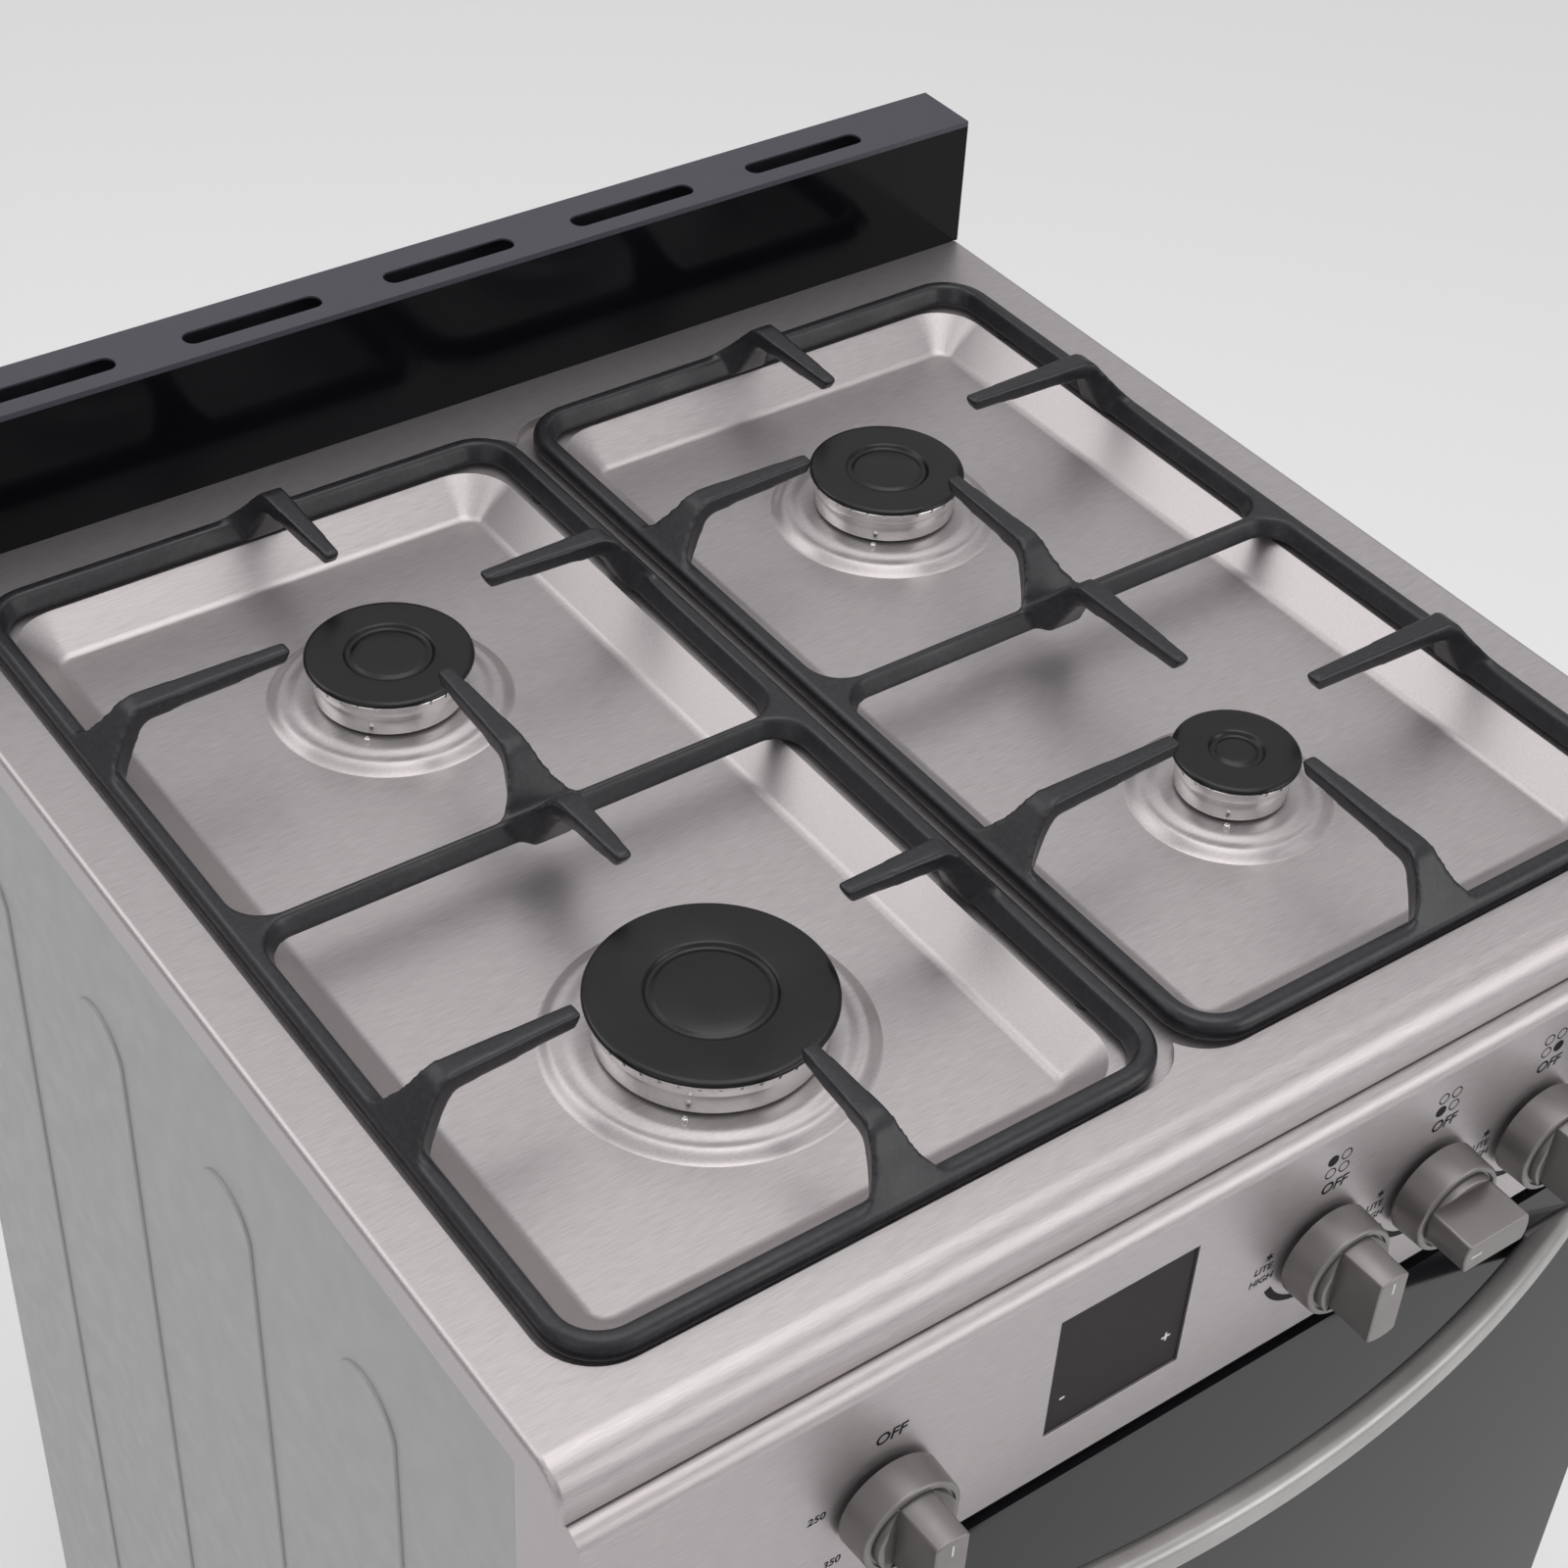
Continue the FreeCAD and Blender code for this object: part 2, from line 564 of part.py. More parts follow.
def ring_of(name, item, count):
    """Copies of one item, evenly spaced about the Z axis."""
    steps = int(number(count))
    copies = [item]
    for index in range(1, steps):
        copy = doc.addObject("Part::Compound", f"{name}_{index}")
        copy.Links = [item]
        turn = FreeCAD.Rotation(FreeCAD.Vector(0, 0, 1), 360 * index / steps)
        copy.Placement = FreeCAD.Placement(FreeCAD.Vector(), turn)
        copies.append(copy)
    return group(name, *copies)


def finger(name, length, spread):
    """One cast finger along +X from a bar's far edge: flared root, goose neck and level top."""
    flare = s.finger_flare / 2
    half = s.finger_width / 2
    tip = s.finger_tip_width / 2
    plan = plate(f"{name}_plan", "XY_Plane",
                 [(0, -flare), (s.finger_climb, -half, -s.flare_radius), (length, -tip), (length, tip),
                  (s.finger_climb, half), (0, flare, -s.flare_radius)],
                 -s.bar_bottom, s.finger_top + s.bar_bottom)
    top = s.finger_top
    under = top - s.finger_depth
    climb = s.finger_climb
    side = new_body(f"{name}_side")
    sketch = new_sketch(side, "XZ_Plane", -spread)
    outline(sketch, [(s.bar_bevel / 2, -s.bar_bottom), (s.bar_width, -s.bar_bottom),
                     (climb - s.neck_before, under - s.neck_drop),
                     (climb + s.neck_after, under, -s.neck_radius),
                     (length - s.tip_slope, under + s.tip_lift), (length, top - s.tip_round),
                     (length - s.tip_round, top), (climb + s.crown_after, top),
                     (climb - s.crown_before, top - s.crown_drop, s.crown_radius),
                     (s.bar_bevel, s.bar_top)])
    pad(side, sketch, 2 * spread)
    return common(name, plan, side)


def grate(side):
    """A cast frame of drafted bars, a crossbar and four fingers over each burner."""
    tag = "left" if side < 0 else "right"
    near = s.grate_gap / 2
    far = GRATE_HALF
    x = sorted((near * side, far * side), key=number)
    high = s.deck_height + s.bar_top - s.bar_bevel
    low = s.deck_height - s.bar_bottom
    body = new_body(f"grate_{tag}_block")
    sketch = new_sketch(body, "XY_Plane", low)
    outline(sketch, rounded(x, (s.grate_front, GRATE_BACK), s.grate_radius))
    pad(body, sketch, s.bar_top + s.bar_bottom - s.bar_bevel)
    crown = new_body(f"grate_{tag}_crown")
    sketch = new_sketch(crown, "XY_Plane", high)
    outline(sketch, rounded(x, (s.grate_front, GRATE_BACK), s.grate_radius))
    pad(crown, sketch, s.bar_bevel, -s.bevel_draft)
    width = s.bar_width
    windows = []
    for row, (front, back) in enumerate(((s.grate_front + width, CROSSBAR_Y - width / 2),
                                         (CROSSBAR_Y + width / 2, GRATE_BACK - width))):
        hole = new_body(f"grate_{tag}_window_{row}")
        sketch = new_sketch(hole, "XY_Plane", low - OVERCUT)
        outline(sketch, rounded((x[0] + width, x[1] - width), (front, back), s.grate_radius - width))
        pad(hole, sketch, s.bar_top + s.bar_bottom + 2 * OVERCUT, s.bar_draft)
        windows.append(hole)
    frame = cut(f"grate_{tag}_frame", fuse(f"grate_{tag}_blank", body, crown), *windows)
    fingers = []
    for row in ("rear", "front"):
        bx, by, cap = BURNERS[f"{row}_{tag}"]
        tip = cap + s.tip_reach
        back_bar = GRATE_BACK if row == "rear" else CROSSBAR_Y + s.root_offset
        front_bar = CROSSBAR_Y - s.root_offset if row == "rear" else s.grate_front
        for name, length, at, turn in (("right", x[1] - bx - tip, (x[1], by), 180),
                                       ("left", bx - x[0] - tip, (x[0], by), 0),
                                       ("back", back_bar - by - tip, (bx, back_bar), -90),
                                       ("front", by - front_bar - tip, (bx, front_bar), 90)):
            item = finger(f"grate_{tag}_{row}_{name}", length, s.finger_flare)
            place(item, at[0], at[1], s.deck_height, FreeCAD.Rotation(FreeCAD.Vector(0, 0, 1), turn))
            fingers.append(item)
    node(f"grate_{tag}", fuse(f"grate_{tag}_casting", frame, *fingers))
    feet = []
    for px in (x[0] + s.pad_inset, x[1] - s.pad_inset):
        for py in (s.grate_front + 2 * s.grate_radius, GRATE_BACK - 2 * s.grate_radius):
            feet.append(rod(f"grate_{tag}_pad_{len(feet)}", "Z", (px, py, LEDGE), s.grate_pad_radius,
                            s.rim_step - s.bar_bottom))
    node(f"grate_{tag}_pads", group(f"grate_{tag}_feet", *feet))


def front_rails():
    """Cross rails behind the gaps above the door and above the drawer."""
    inside = HALF_BODY - s.side_flange - s.running_gap
    low_rail = DRAWER_TOP - s.side_flange
    back = s.body_front + s.side_flange
    upper = box("upper_rail", both_sides(inside), (s.body_front, back),
                (DOOR_TOP - s.rail_drop, PANEL_BOTTOM - s.rail_drop))
    lower = box("lower_rail", both_sides(inside), (s.body_front, back),
                (low_rail, low_rail + s.rail_height))
    node("front_rails", group("rails", upper, lower))


def control_panel():
    """A folded steel fascia with a round top edge, stem holes and a display opening."""
    gauge = s.sheet_gauge
    face = -s.panel_face
    body = new_body("panel_block")
    sketch = new_sketch(body, "YZ_Plane", -HALF_BODY)
    outline(sketch, [(s.body_front, PANEL_BOTTOM), (s.body_front, PANEL_TOP),
                     (face + s.panel_round, PANEL_TOP), (face, PANEL_TOP - s.panel_round, s.panel_round),
                     (face, PANEL_BOTTOM)])
    pad(body, sketch, 2 * HALF_BODY)
    hollow = new_body("panel_hollow")
    sketch = new_sketch(hollow, "YZ_Plane", gauge - HALF_BODY)
    inner_round = s.panel_round - gauge
    outline(sketch, [(s.body_front + gauge, PANEL_BOTTOM + gauge),
                     (s.body_front + gauge, PANEL_TOP - gauge), (face + s.panel_round, PANEL_TOP - gauge),
                     (face + gauge, PANEL_TOP - s.panel_round, inner_round),
                     (face + gauge, PANEL_BOTTOM + gauge)])
    pad(hollow, sketch, 2 * (HALF_BODY - gauge))
    holes = [rod(f"stem_hole_{name}", "Y", (x, face - gauge, KNOB_LEVEL), s.stem_hole, 3 * gauge)
             for name, x in KNOBS.items()]
    top = s.deck_height - s.window_drop
    right = KNOB_FIRST - s.window_gap
    left = right - s.window_size
    holes.append(box("window_hole", (left, right), (face - gauge, face + 2 * gauge),
                     (top - s.window_size, top)))
    node("control_panel", cut("panel", body, hollow, *holes))
    lap = s.window_lap
    node("display_window", plate("window", "XZ_Plane",
                                 rounded((left - lap, right + lap),
                                         (top - s.window_size - lap, top + lap), lap),
                                 -(face + gauge + s.window_glass), s.window_glass))


def knob(name, x):
    """Skirt with a rolled front lip, a groove, a raised disc with sunken crescents and a grip bar."""
    radius = s.knob_radius
    front = s.knob_skirt
    inner = s.knob_disc_radius
    groove = inner + s.knob_groove
    top = front + s.knob_disc_rise
    bore = s.stem_radius + s.shaft_gap
    lip = s.knob_lip
    edge = s.knob_disc_round
    crown = radius - s.knob_draft
    shell = turned(f"knob_{name}_turned",
                   [(bore, 0), (radius, 0), (crown, front - lip), (crown - lip, front, lip * ARC_EASE),
                    (groove, front), (groove, front - lip), (inner, front - lip), (inner, top - edge),
                    (inner - edge, top, edge * ARC_EASE), (0, top), (0, s.stem_into_knob),
                    (bore, s.stem_into_knob)])
    half = s.grip_width / 2
    dips = []
    for side in (-1, 1):
        dip = new_body(f"knob_{name}_dip_{side + 1}")
        sketch = new_sketch(dip, "XZ_Plane", -inner)
        outline(sketch, [(side * half, top + OVERCUT), (side * half, top - s.crescent_depth),
                         (side * (inner - edge), top + OVERCUT)][::side])
        pad(dip, sketch, 2 * inner)
        dips.append(dip)
    root = top - s.crescent_depth
    bar = box(f"knob_{name}_bar", both_sides(half), both_sides(inner), (root, top + s.grip_rise))
    ends = rod(f"knob_{name}_bar_ends", "Z", (0, 0, root), inner, s.crescent_depth + s.grip_rise)
    grip = common(f"knob_{name}_grip", bar, ends)
    whole = fuse(f"knob_{name}", cut(f"knob_{name}_dished", shell, *dips), grip)
    turn = FreeCAD.Rotation(FreeCAD.Vector(0, 1, 0), -90) if name == "front_left" else UPRIGHT
    node(f"knob_{name}", whole, x, -s.panel_face - s.knob_gap, KNOB_LEVEL, turn * ALONG["-Y"])


def valves():
    """Manifold pipe with its two brackets, a tap for each knob, and the sliding stems."""
    axis_y = s.manifold_y
    front = s.valve_front
    first = KNOBS["oven"] - s.thermostat_width / 2
    pipe = rod("manifold_pipe", "X", (first, axis_y, KNOB_LEVEL), s.manifold_radius,
               INLET_X + s.manifold_radius - first)
    inlet_run = rod("inlet_run", "Y", (INLET_X, axis_y, KNOB_LEVEL), s.inlet_pipe_radius,
                    s.deck_depth - s.regulator_radius - s.manifold_radius - axis_y)
    rail_top = PANEL_BOTTOM - s.rail_drop
    brackets = []
    for x in (-s.bracket_left, s.bracket_right):
        wide = (x, x + s.side_flange)
        brackets.append(box(f"manifold_leg_{len(brackets)}", wide,
                            (s.body_front + s.rail_drop, axis_y + s.sheet_gauge),
                            (rail_top, rail_top + s.sheet_gauge * 2)))
        brackets.append(box(f"manifold_post_{len(brackets)}", wide,
                            (axis_y - s.sheet_gauge, axis_y + s.sheet_gauge), (rail_top, KNOB_LEVEL)))
    node("gas_manifold", fuse("manifold", pipe, inlet_run, *brackets))
    taps = []
    for name, x in KNOBS.items():
        width = s.thermostat_width if name == "oven" else s.valve_width
        back = axis_y - s.manifold_radius - s.running_gap
        block = box(f"tap_block_{name}", (x - width / 2, x + width / 2), (front + s.valve_neck, back),
                    (KNOB_LEVEL - s.valve_height / 2, KNOB_LEVEL + s.valve_height / 2))
        neck = rod(f"tap_neck_{name}", "Y", (x, front, KNOB_LEVEL), s.stem_radius * 2, s.valve_height / 2)
        bore = rod(f"tap_bore_{name}", "Y", (x, front - OVERCUT, KNOB_LEVEL), s.stem_radius + s.shaft_gap,
                   s.stem_into_valve + s.push_travel + 2 * OVERCUT)
        body = cut(f"tap_{name}", fuse(f"tap_body_{name}", block, neck), bore)
        if name == "oven":
            node("oven_thermostat", body)
        else:
            taps.append(body)
        start = s.knob_gap + s.panel_face + s.stem_into_knob
        node(f"valve_stem_{name}", rod(f"stem_{name}", "Y", (0, 0, 0), s.stem_radius,
                                       start + front + s.stem_into_valve - s.shaft_gap),
             x, s.shaft_gap - start, KNOB_LEVEL, ALONG["Y"])
    node("burner_valves", group("taps", *taps))


def tube(name, points, radius, bend):
    """A bent pipe: straight runs joined by arcs of one radius."""
    vectors = [FreeCAD.Vector(*[number(value) for value in point]) for point in points]
    edges = []
    start = vectors[0]
    for before, corner, after in zip(vectors, vectors[1:], vectors[2:]):
        back = (before - corner).normalize()
        ahead = (after - corner).normalize()
        half = back.getAngle(ahead) / 2
        trim = number(bend) / math.tan(half)
        middle = corner + (back + ahead).normalize() * (number(bend) / math.sin(half) - number(bend))
        enter = corner + back * trim
        leave = corner + ahead * trim
        edges.append(Part.LineSegment(start, enter).toShape())
        edges.append(Part.Arc(enter, middle, leave).toShape())
        start = leave
    edges.append(Part.LineSegment(start, vectors[-1]).toShape())
    ring = Part.Wire([Part.makeCircle(number(radius), vectors[0], vectors[1] - vectors[0])])
    item = doc.addObject("Part::Feature", name)
    item.Shape = Part.Wire(edges).makePipeShell([ring], True, False)
    return item


def supply_tubes():
    """Soft aluminium tubes from the taps to the burner cups, each at a level of its own."""
    tubes = []
    tap_top = KNOB_LEVEL + s.valve_height / 2
    start_y = s.valve_front + s.tube_setback
    cup_low = WELL_UNDER - s.base_depth
    highest = cup_low - s.tube_radius - s.running_gap
    for step, name in enumerate(("rear_left", "front_left", "front_right", "rear_right")):
        x = KNOBS[name]
        bx, by, cap = BURNERS[name]
        level = highest - step * (2 * s.tube_radius + s.tube_spacing)
        target = bx + math.copysign(0.5, number(bx)) * head_radius(cap)
        route = [(x, start_y, tap_top), (x, start_y, level), (target, by, level)]
        if step > 0:
            route.append((target, by, cup_low))
        tubes.append(tube(f"tube_{name}", route, s.tube_radius, s.tube_radius + s.tube_spacing))
    node("burner_supply_tubes", group("tubes", *tubes))


def backguard():
    """Black glass front, folded body with a slotted top, and the cover behind the cabinet."""
    gauge = s.sheet_gauge
    half = HALF_DECK
    front = s.deck_depth
    back = front + s.guard_depth
    low = s.deck_height - s.guard_foot
    high = s.deck_height + s.guard_rise
    glass_back = front + s.guard_glass
    block = box("guard_block", both_sides(half), (glass_back, back), (low, high))
    hollow = box("guard_hollow", both_sides(half - gauge), (glass_back + gauge, back - gauge),
                 (low - gauge, high - gauge))
    lip = box("guard_lip", both_sides(half), (front, glass_back), (high - s.guard_lip, high))
    slots = []
    middle = front + s.guard_slot_back
    deep = s.guard_slot_width / 2
    for index in range(-2, 3):
        x = s.guard_slot_pitch * index
        wide = (x - s.guard_slot_length / 2, x + s.guard_slot_length / 2)
        slots.append(plate(f"guard_slot_{index + 2}", "XY_Plane",
                           rounded(wide, (middle - deep, middle + deep), s.guard_slot_round),
                           high - 2 * gauge, 3 * gauge))
    node("backguard_body", cut("guard", fuse("guard_solid", block, lip), hollow, *slots))
    node("backguard_glass", box("guard_glass", both_sides(half), (0, s.guard_glass),
                                (0, high - s.guard_lip - s.deck_height)),
         -half, front, s.deck_height)
    cover_half = HALF_BODY - s.guard_inset
    cover_back = front + s.back_cover_depth
    cover = box("cover_block", both_sides(cover_half), (front, cover_back), (s.back_cover_foot, low))
    inside = box("cover_hollow", both_sides(cover_half - gauge), (front - gauge, cover_back - gauge),
                 (s.back_cover_foot + gauge, low + gauge))
    holes = [rod("inlet_hole", "Y", (INLET_X, front, KNOB_LEVEL), s.inlet_radius + OVERCUT,
                 2 * s.back_cover_depth)]
    for column in (-1, 0, 1):
        for row in range(6):
            x = column * s.vent_spread
            z = s.deck_height - s.vent_drop - s.vent_pitch * row
            holes.append(box(f"vent_{column + 1}_{row}", (x - s.vent_width / 2, x + s.vent_width / 2),
                             (cover_back - 2 * gauge, cover_back + gauge), (z, z + s.vent_height)))
    node("rear_cover", cut("cover", cover, inside, *holes))


def gas_inlet():
    """Round regulator on the supply pipe's end with a threaded nipple through the rear cover."""
    centre = s.deck_depth - s.regulator_radius / 2
    start = s.deck_depth - s.regulator_radius - s.manifold_radius
    body = rod("regulator_drum", "Z", (INLET_X, centre, KNOB_LEVEL - s.regulator_drop),
               s.regulator_radius / 2, s.regulator_height)
    block = rod("regulator_neck", "Y", (INLET_X, start, KNOB_LEVEL), s.inlet_boss,
                s.regulator_radius)
    tail = s.deck_depth + s.guard_depth - s.inlet_length
    nipple = rod("inlet_nipple", "Y", (INLET_X, centre, KNOB_LEVEL), s.inlet_radius,
                 tail + s.inlet_length - centre)
    bore = rod("inlet_bore", "Y", (INLET_X, tail, KNOB_LEVEL), s.inlet_bore, s.inlet_length + OVERCUT)
    node("gas_inlet", cut("inlet", fuse("inlet_solid", body, block, nipple), bore))


PIVOT_Y = s.pivot_back - s.panel_face
PIVOT_Z = s.door_bottom + s.pivot_rise
LINER_FRONT = s.body_front - s.sheet_gauge
LINER_BACK = s.deck_depth - s.liner_back_margin
LINER_FLOOR = s.door_bottom + s.liner_floor_rise
LINER_ROOF = DOOR_TOP - s.liner_roof_drop
WINDOW_HALF = LINER_HALF - s.door_window_margin
HINGE_X = DOOR_HALF - s.hinge_margin
HANDLE_HALF = DOOR_HALF - s.handle_margin
SLOT_SHARE = 0.62
LAMP_SHARE = 0.6
GUIDE_LEVELS = 4
GUIDE_SPAN = LINER_ROOF - LINER_FLOOR - s.guide_first - s.guide_height - s.guide_roof_gap
GUIDE_PITCH = GUIDE_SPAN / (GUIDE_LEVELS - 1)
GUIDE_TOP = LINER_FLOOR + s.guide_first + GUIDE_PITCH + s.guide_height


def oven():
    """Enamelled liner with rack guides, raised floor over the burner tube, rack, lamp and flue."""
    gauge = s.sheet_gauge
    half = LINER_HALF
    block = box("liner_block", both_sides(half), (LINER_FRONT, LINER_BACK), (LINER_FLOOR, LINER_ROOF))
    flange = box("liner_flange", both_sides(DOOR_HALF), (LINER_FRONT, s.body_front),
                 (s.door_bottom + 2 * s.pivot_rise + s.door_inset * 2, DOOR_TOP - s.door_inset))
    hollow = box("liner_hollow", both_sides(half - gauge), (LINER_FRONT - gauge, LINER_BACK - gauge),
                 (LINER_FLOOR + gauge, LINER_ROOF - gauge))
    guides = []
    for level in range(GUIDE_LEVELS):
        low = LINER_FLOOR + s.guide_first + GUIDE_PITCH * level
        for side in (-1, 1):
            x = sorted((side * (half - gauge / 2), side * (half - gauge - s.guide_reach)), key=number)
            guides.append(box(f"guide_{level}_{side + 1}", x,
                              (s.body_front + s.guide_margin, LINER_BACK - s.guide_margin),
                              (low, low + s.guide_height)))
    shell = cut("liner_shell", fuse("liner_solid", block, flange), hollow)
    node("oven_liner", fuse("liner", shell, *guides))

    inside = half - gauge - s.running_gap
    floor_low = LINER_FLOOR + gauge
    floor_y = (s.body_front + s.floor_margin, LINER_BACK - gauge - s.running_gap)
    top = floor_low + s.floor_rise
    plate_box = box("floor_plate", both_sides(inside), floor_y, (top, top + gauge))
    legs = [box(f"floor_leg_{index}", (x, x + gauge), floor_y, (floor_low, top))
            for index, x in enumerate((-inside, inside - gauge))]
    slots = []
    for middle in both_sides(half * SLOT_SHARE):
        for step in range(5):
            y = s.body_front + s.floor_slot_first + s.floor_slot_pitch * step
            slots.append(box(f"floor_slot_{len(slots)}",
                             (middle - s.floor_slot_length / 2, middle + s.floor_slot_length / 2),
                             (y, y + s.floor_slot_width), (top - gauge, top + 2 * gauge)))
    node("oven_floor", cut("floor", fuse("floor_solid", plate_box, *legs), *slots))

    tube_z = floor_low + s.floor_rise / 2
    pipe_front = s.body_front + s.oven_burner_front
    pipe = rod("oven_burner_pipe", "Y", (0, pipe_front, tube_z), s.oven_burner_radius,
               LINER_BACK - s.oven_burner_back - pipe_front)
    stands = [box(f"oven_burner_stand_{index}", both_sides(s.stand_width / 2), (y, y + s.stand_thick),
                  (floor_low, tube_z))
              for index, y in enumerate((s.body_front + s.stand_front, LINER_BACK - s.stand_back))]
    node("oven_burner", fuse("oven_burner_solid", pipe, *stands))

    wire = s.rack_rod
    reach = half - gauge - s.guide_reach / 3
    level = GUIDE_TOP + wire + s.running_gap
    front = s.body_front + s.rack_margin
    back = LINER_BACK - s.rack_margin
    rods = [rod(f"rack_side_{index}", "Y", (x, front, level), wire, back - front)
            for index, x in enumerate((wire - reach, reach - wire))]
    rods += [rod(f"rack_end_{index}", "X", (-reach, y, level), wire, 2 * reach)
             for index, y in enumerate((front + wire, back - wire))]
    bars = int(number(s.rack_bars))
    for index in range(1, bars + 1):
        x = (2 * reach) * (index / (bars + 1)) - reach
        rods.append(rod(f"rack_bar_{index}", "Y", (x, front, level), s.rack_bar, back - front))
    node("oven_rack", fuse("rack", *rods))

    node("oven_lamp", rod("lamp", "Y", (0, 0, 0), s.lamp_radius, s.lamp_radius),
         half * LAMP_SHARE, LINER_BACK - gauge - s.lamp_radius, LINER_ROOF - 3 * s.lamp_radius, ALONG["Y"])

    low = LINER_ROOF - 3 * s.flue_thick
    stack_front = s.deck_depth + s.back_cover_depth - 2 * gauge - s.flue_thick
    stack_back = stack_front + s.flue_thick
    wide = s.flue_half_width
    duct = box("flue_run", both_sides(wide), (LINER_BACK, stack_back), (low, low + s.flue_thick))
    stack = box("flue_stack", both_sides(wide), (stack_front, stack_back), (low, s.deck_height))
    run_way = box("flue_run_way", both_sides(wide - gauge), (LINER_BACK - gauge, stack_back - gauge),
                  (low + gauge, low + s.flue_thick - gauge))
    stack_way = box("flue_stack_way", both_sides(wide - gauge), (stack_front + gauge, stack_back - gauge),
                    (low + gauge, s.deck_height + gauge))
    node("flue_duct", cut("flue", fuse("flue_solid", duct, stack), run_way, stack_way))

    node("spark_module", box("spark_box", (0, s.spark_box_width), (0, s.spark_box_depth),
                             (0, s.spark_box_height)),
         HALF_BODY - gauge - s.spark_box_width, s.deck_depth / 2, LINER_ROOF + s.spark_box_gap)


def hinge_notches(name):
    """Open corners at the door's foot that let the fixed hinge arms in."""
    side_gap = s.hinge_arm / 2 + s.notch_side
    reach = s.arm_half_height + 2 * s.notch_side
    return [box(f"{name}_notch_{side + 1}", (side * HINGE_X - side_gap, side * HINGE_X + side_gap),
                (PIVOT_Y - reach, s.door_back + s.notch_side),
                (s.door_bottom - s.notch_side, PIVOT_Z + reach))
            for side in (-1, 1)]


def oven_door():
    """Glass outer pane, folded frame, enamelled inner panel with a second pane, seal and hinges."""
    gauge = s.sheet_gauge
    face = -s.panel_face
    half = DOOR_HALF - s.door_inset
    low = s.door_bottom + s.door_inset
    high = DOOR_TOP - s.door_inset
    frame_front = face + s.door_glass
    frame_back = s.door_back - gauge
    window = both_sides(WINDOW_HALF)
    window_z = (s.door_bottom + s.door_window_low, s.door_bottom + s.door_window_high)
    node("door_glass", plate("outer_pane", "XZ_Plane",
                             rounded(both_sides(DOOR_HALF), (s.door_bottom, DOOR_TOP), s.door_inset),
                             -frame_front, s.door_glass))
    block = box("door_block", both_sides(half), (frame_front, frame_back), (low, high))
    hollow = box("door_hollow", both_sides(half - gauge), (frame_front + gauge, frame_back + gauge),
                 (low + gauge, high - gauge))
    sight = box("door_sight", window, (frame_front - gauge, frame_front + 2 * gauge), window_z)
    node("door_frame", cut("door_pan", block, hollow, sight, *hinge_notches("frame")))
    panel = box("door_back_plate", both_sides(half), (frame_back, s.door_back), (low, high))
    opening = box("door_back_sight", window, (frame_back - gauge, s.door_back + gauge), window_z)
    node("door_inner_panel", cut("door_back_panel", panel, opening, *hinge_notches("panel")))
    lap = s.door_window_lap
    node("door_inner_glass", box("inner_pane", (0, 2 * (WINDOW_HALF + lap)), (0, s.door_glass),
                                 (0, s.door_window_high - s.door_window_low + 2 * lap)),
         -WINDOW_HALF - lap, frame_back - s.door_glass, window_z[0] - lap)
    seal_gap = LINER_FRONT - s.running_gap
    outer = LINER_HALF + s.seal_width
    ring = box("seal_block", both_sides(outer), (s.door_back, seal_gap),
               (LINER_FLOOR - s.seal_width, LINER_ROOF + s.seal_width))
    hole = box("seal_hole", both_sides(LINER_HALF), (s.door_back - OVERCUT, seal_gap + OVERCUT),
               (LINER_FLOOR, LINER_ROOF))
    node("door_seal", cut("seal", ring, hole))
    arms = []
    brackets = []
    gap = s.hinge_arm / 2 + s.notch_side
    rail_top = DRAWER_TOP - s.side_flange + s.rail_height
    for side in (-1, 1):
        x = side * HINGE_X
        pin = rod(f"hinge_pin_{side + 1}", "X", (x - gap - s.hinge_cheek, PIVOT_Y, PIVOT_Z), s.pivot_radius,
                  2 * (gap + s.hinge_cheek))
        cheeks = [box(f"hinge_cheek_{side + 1}_{index}", (start, start + s.hinge_cheek),
                      (PIVOT_Y - s.cheek_reach, frame_back),
                      (PIVOT_Z - s.cheek_reach, PIVOT_Z + s.cheek_height))
                  for index, start in enumerate((x - gap - s.hinge_cheek, x + gap))]
        arms.append(fuse(f"hinge_{side + 1}", pin, *cheeks))
        thick = (x - s.hinge_arm / 2, x + s.hinge_arm / 2)
        bar = box(f"receiver_bar_{side + 1}", thick, (PIVOT_Y, s.body_front + 2 * s.side_flange),
                  (PIVOT_Z - s.arm_half_height, PIVOT_Z + s.arm_half_height))
        nose = rod(f"receiver_nose_{side + 1}", "X", (thick[0], PIVOT_Y, PIVOT_Z),
                   s.arm_half_height, s.hinge_arm)
        foot = box(f"receiver_foot_{side + 1}", thick, (s.body_front, s.body_front + s.side_flange),
                   (rail_top, PIVOT_Z))
        bore = rod(f"receiver_bore_{side + 1}", "X", (thick[0] - OVERCUT, PIVOT_Y, PIVOT_Z),
                   s.pivot_radius + s.shaft_gap, s.hinge_arm + 2 * OVERCUT)
        solid = fuse(f"receiver_solid_{side + 1}", bar, nose, foot)
        brackets.append(cut(f"receiver_{side + 1}", solid, bore))
    node("door_hinge_arms", group("hinges", *arms))
    node("hinge_receivers", group("receivers", *brackets))


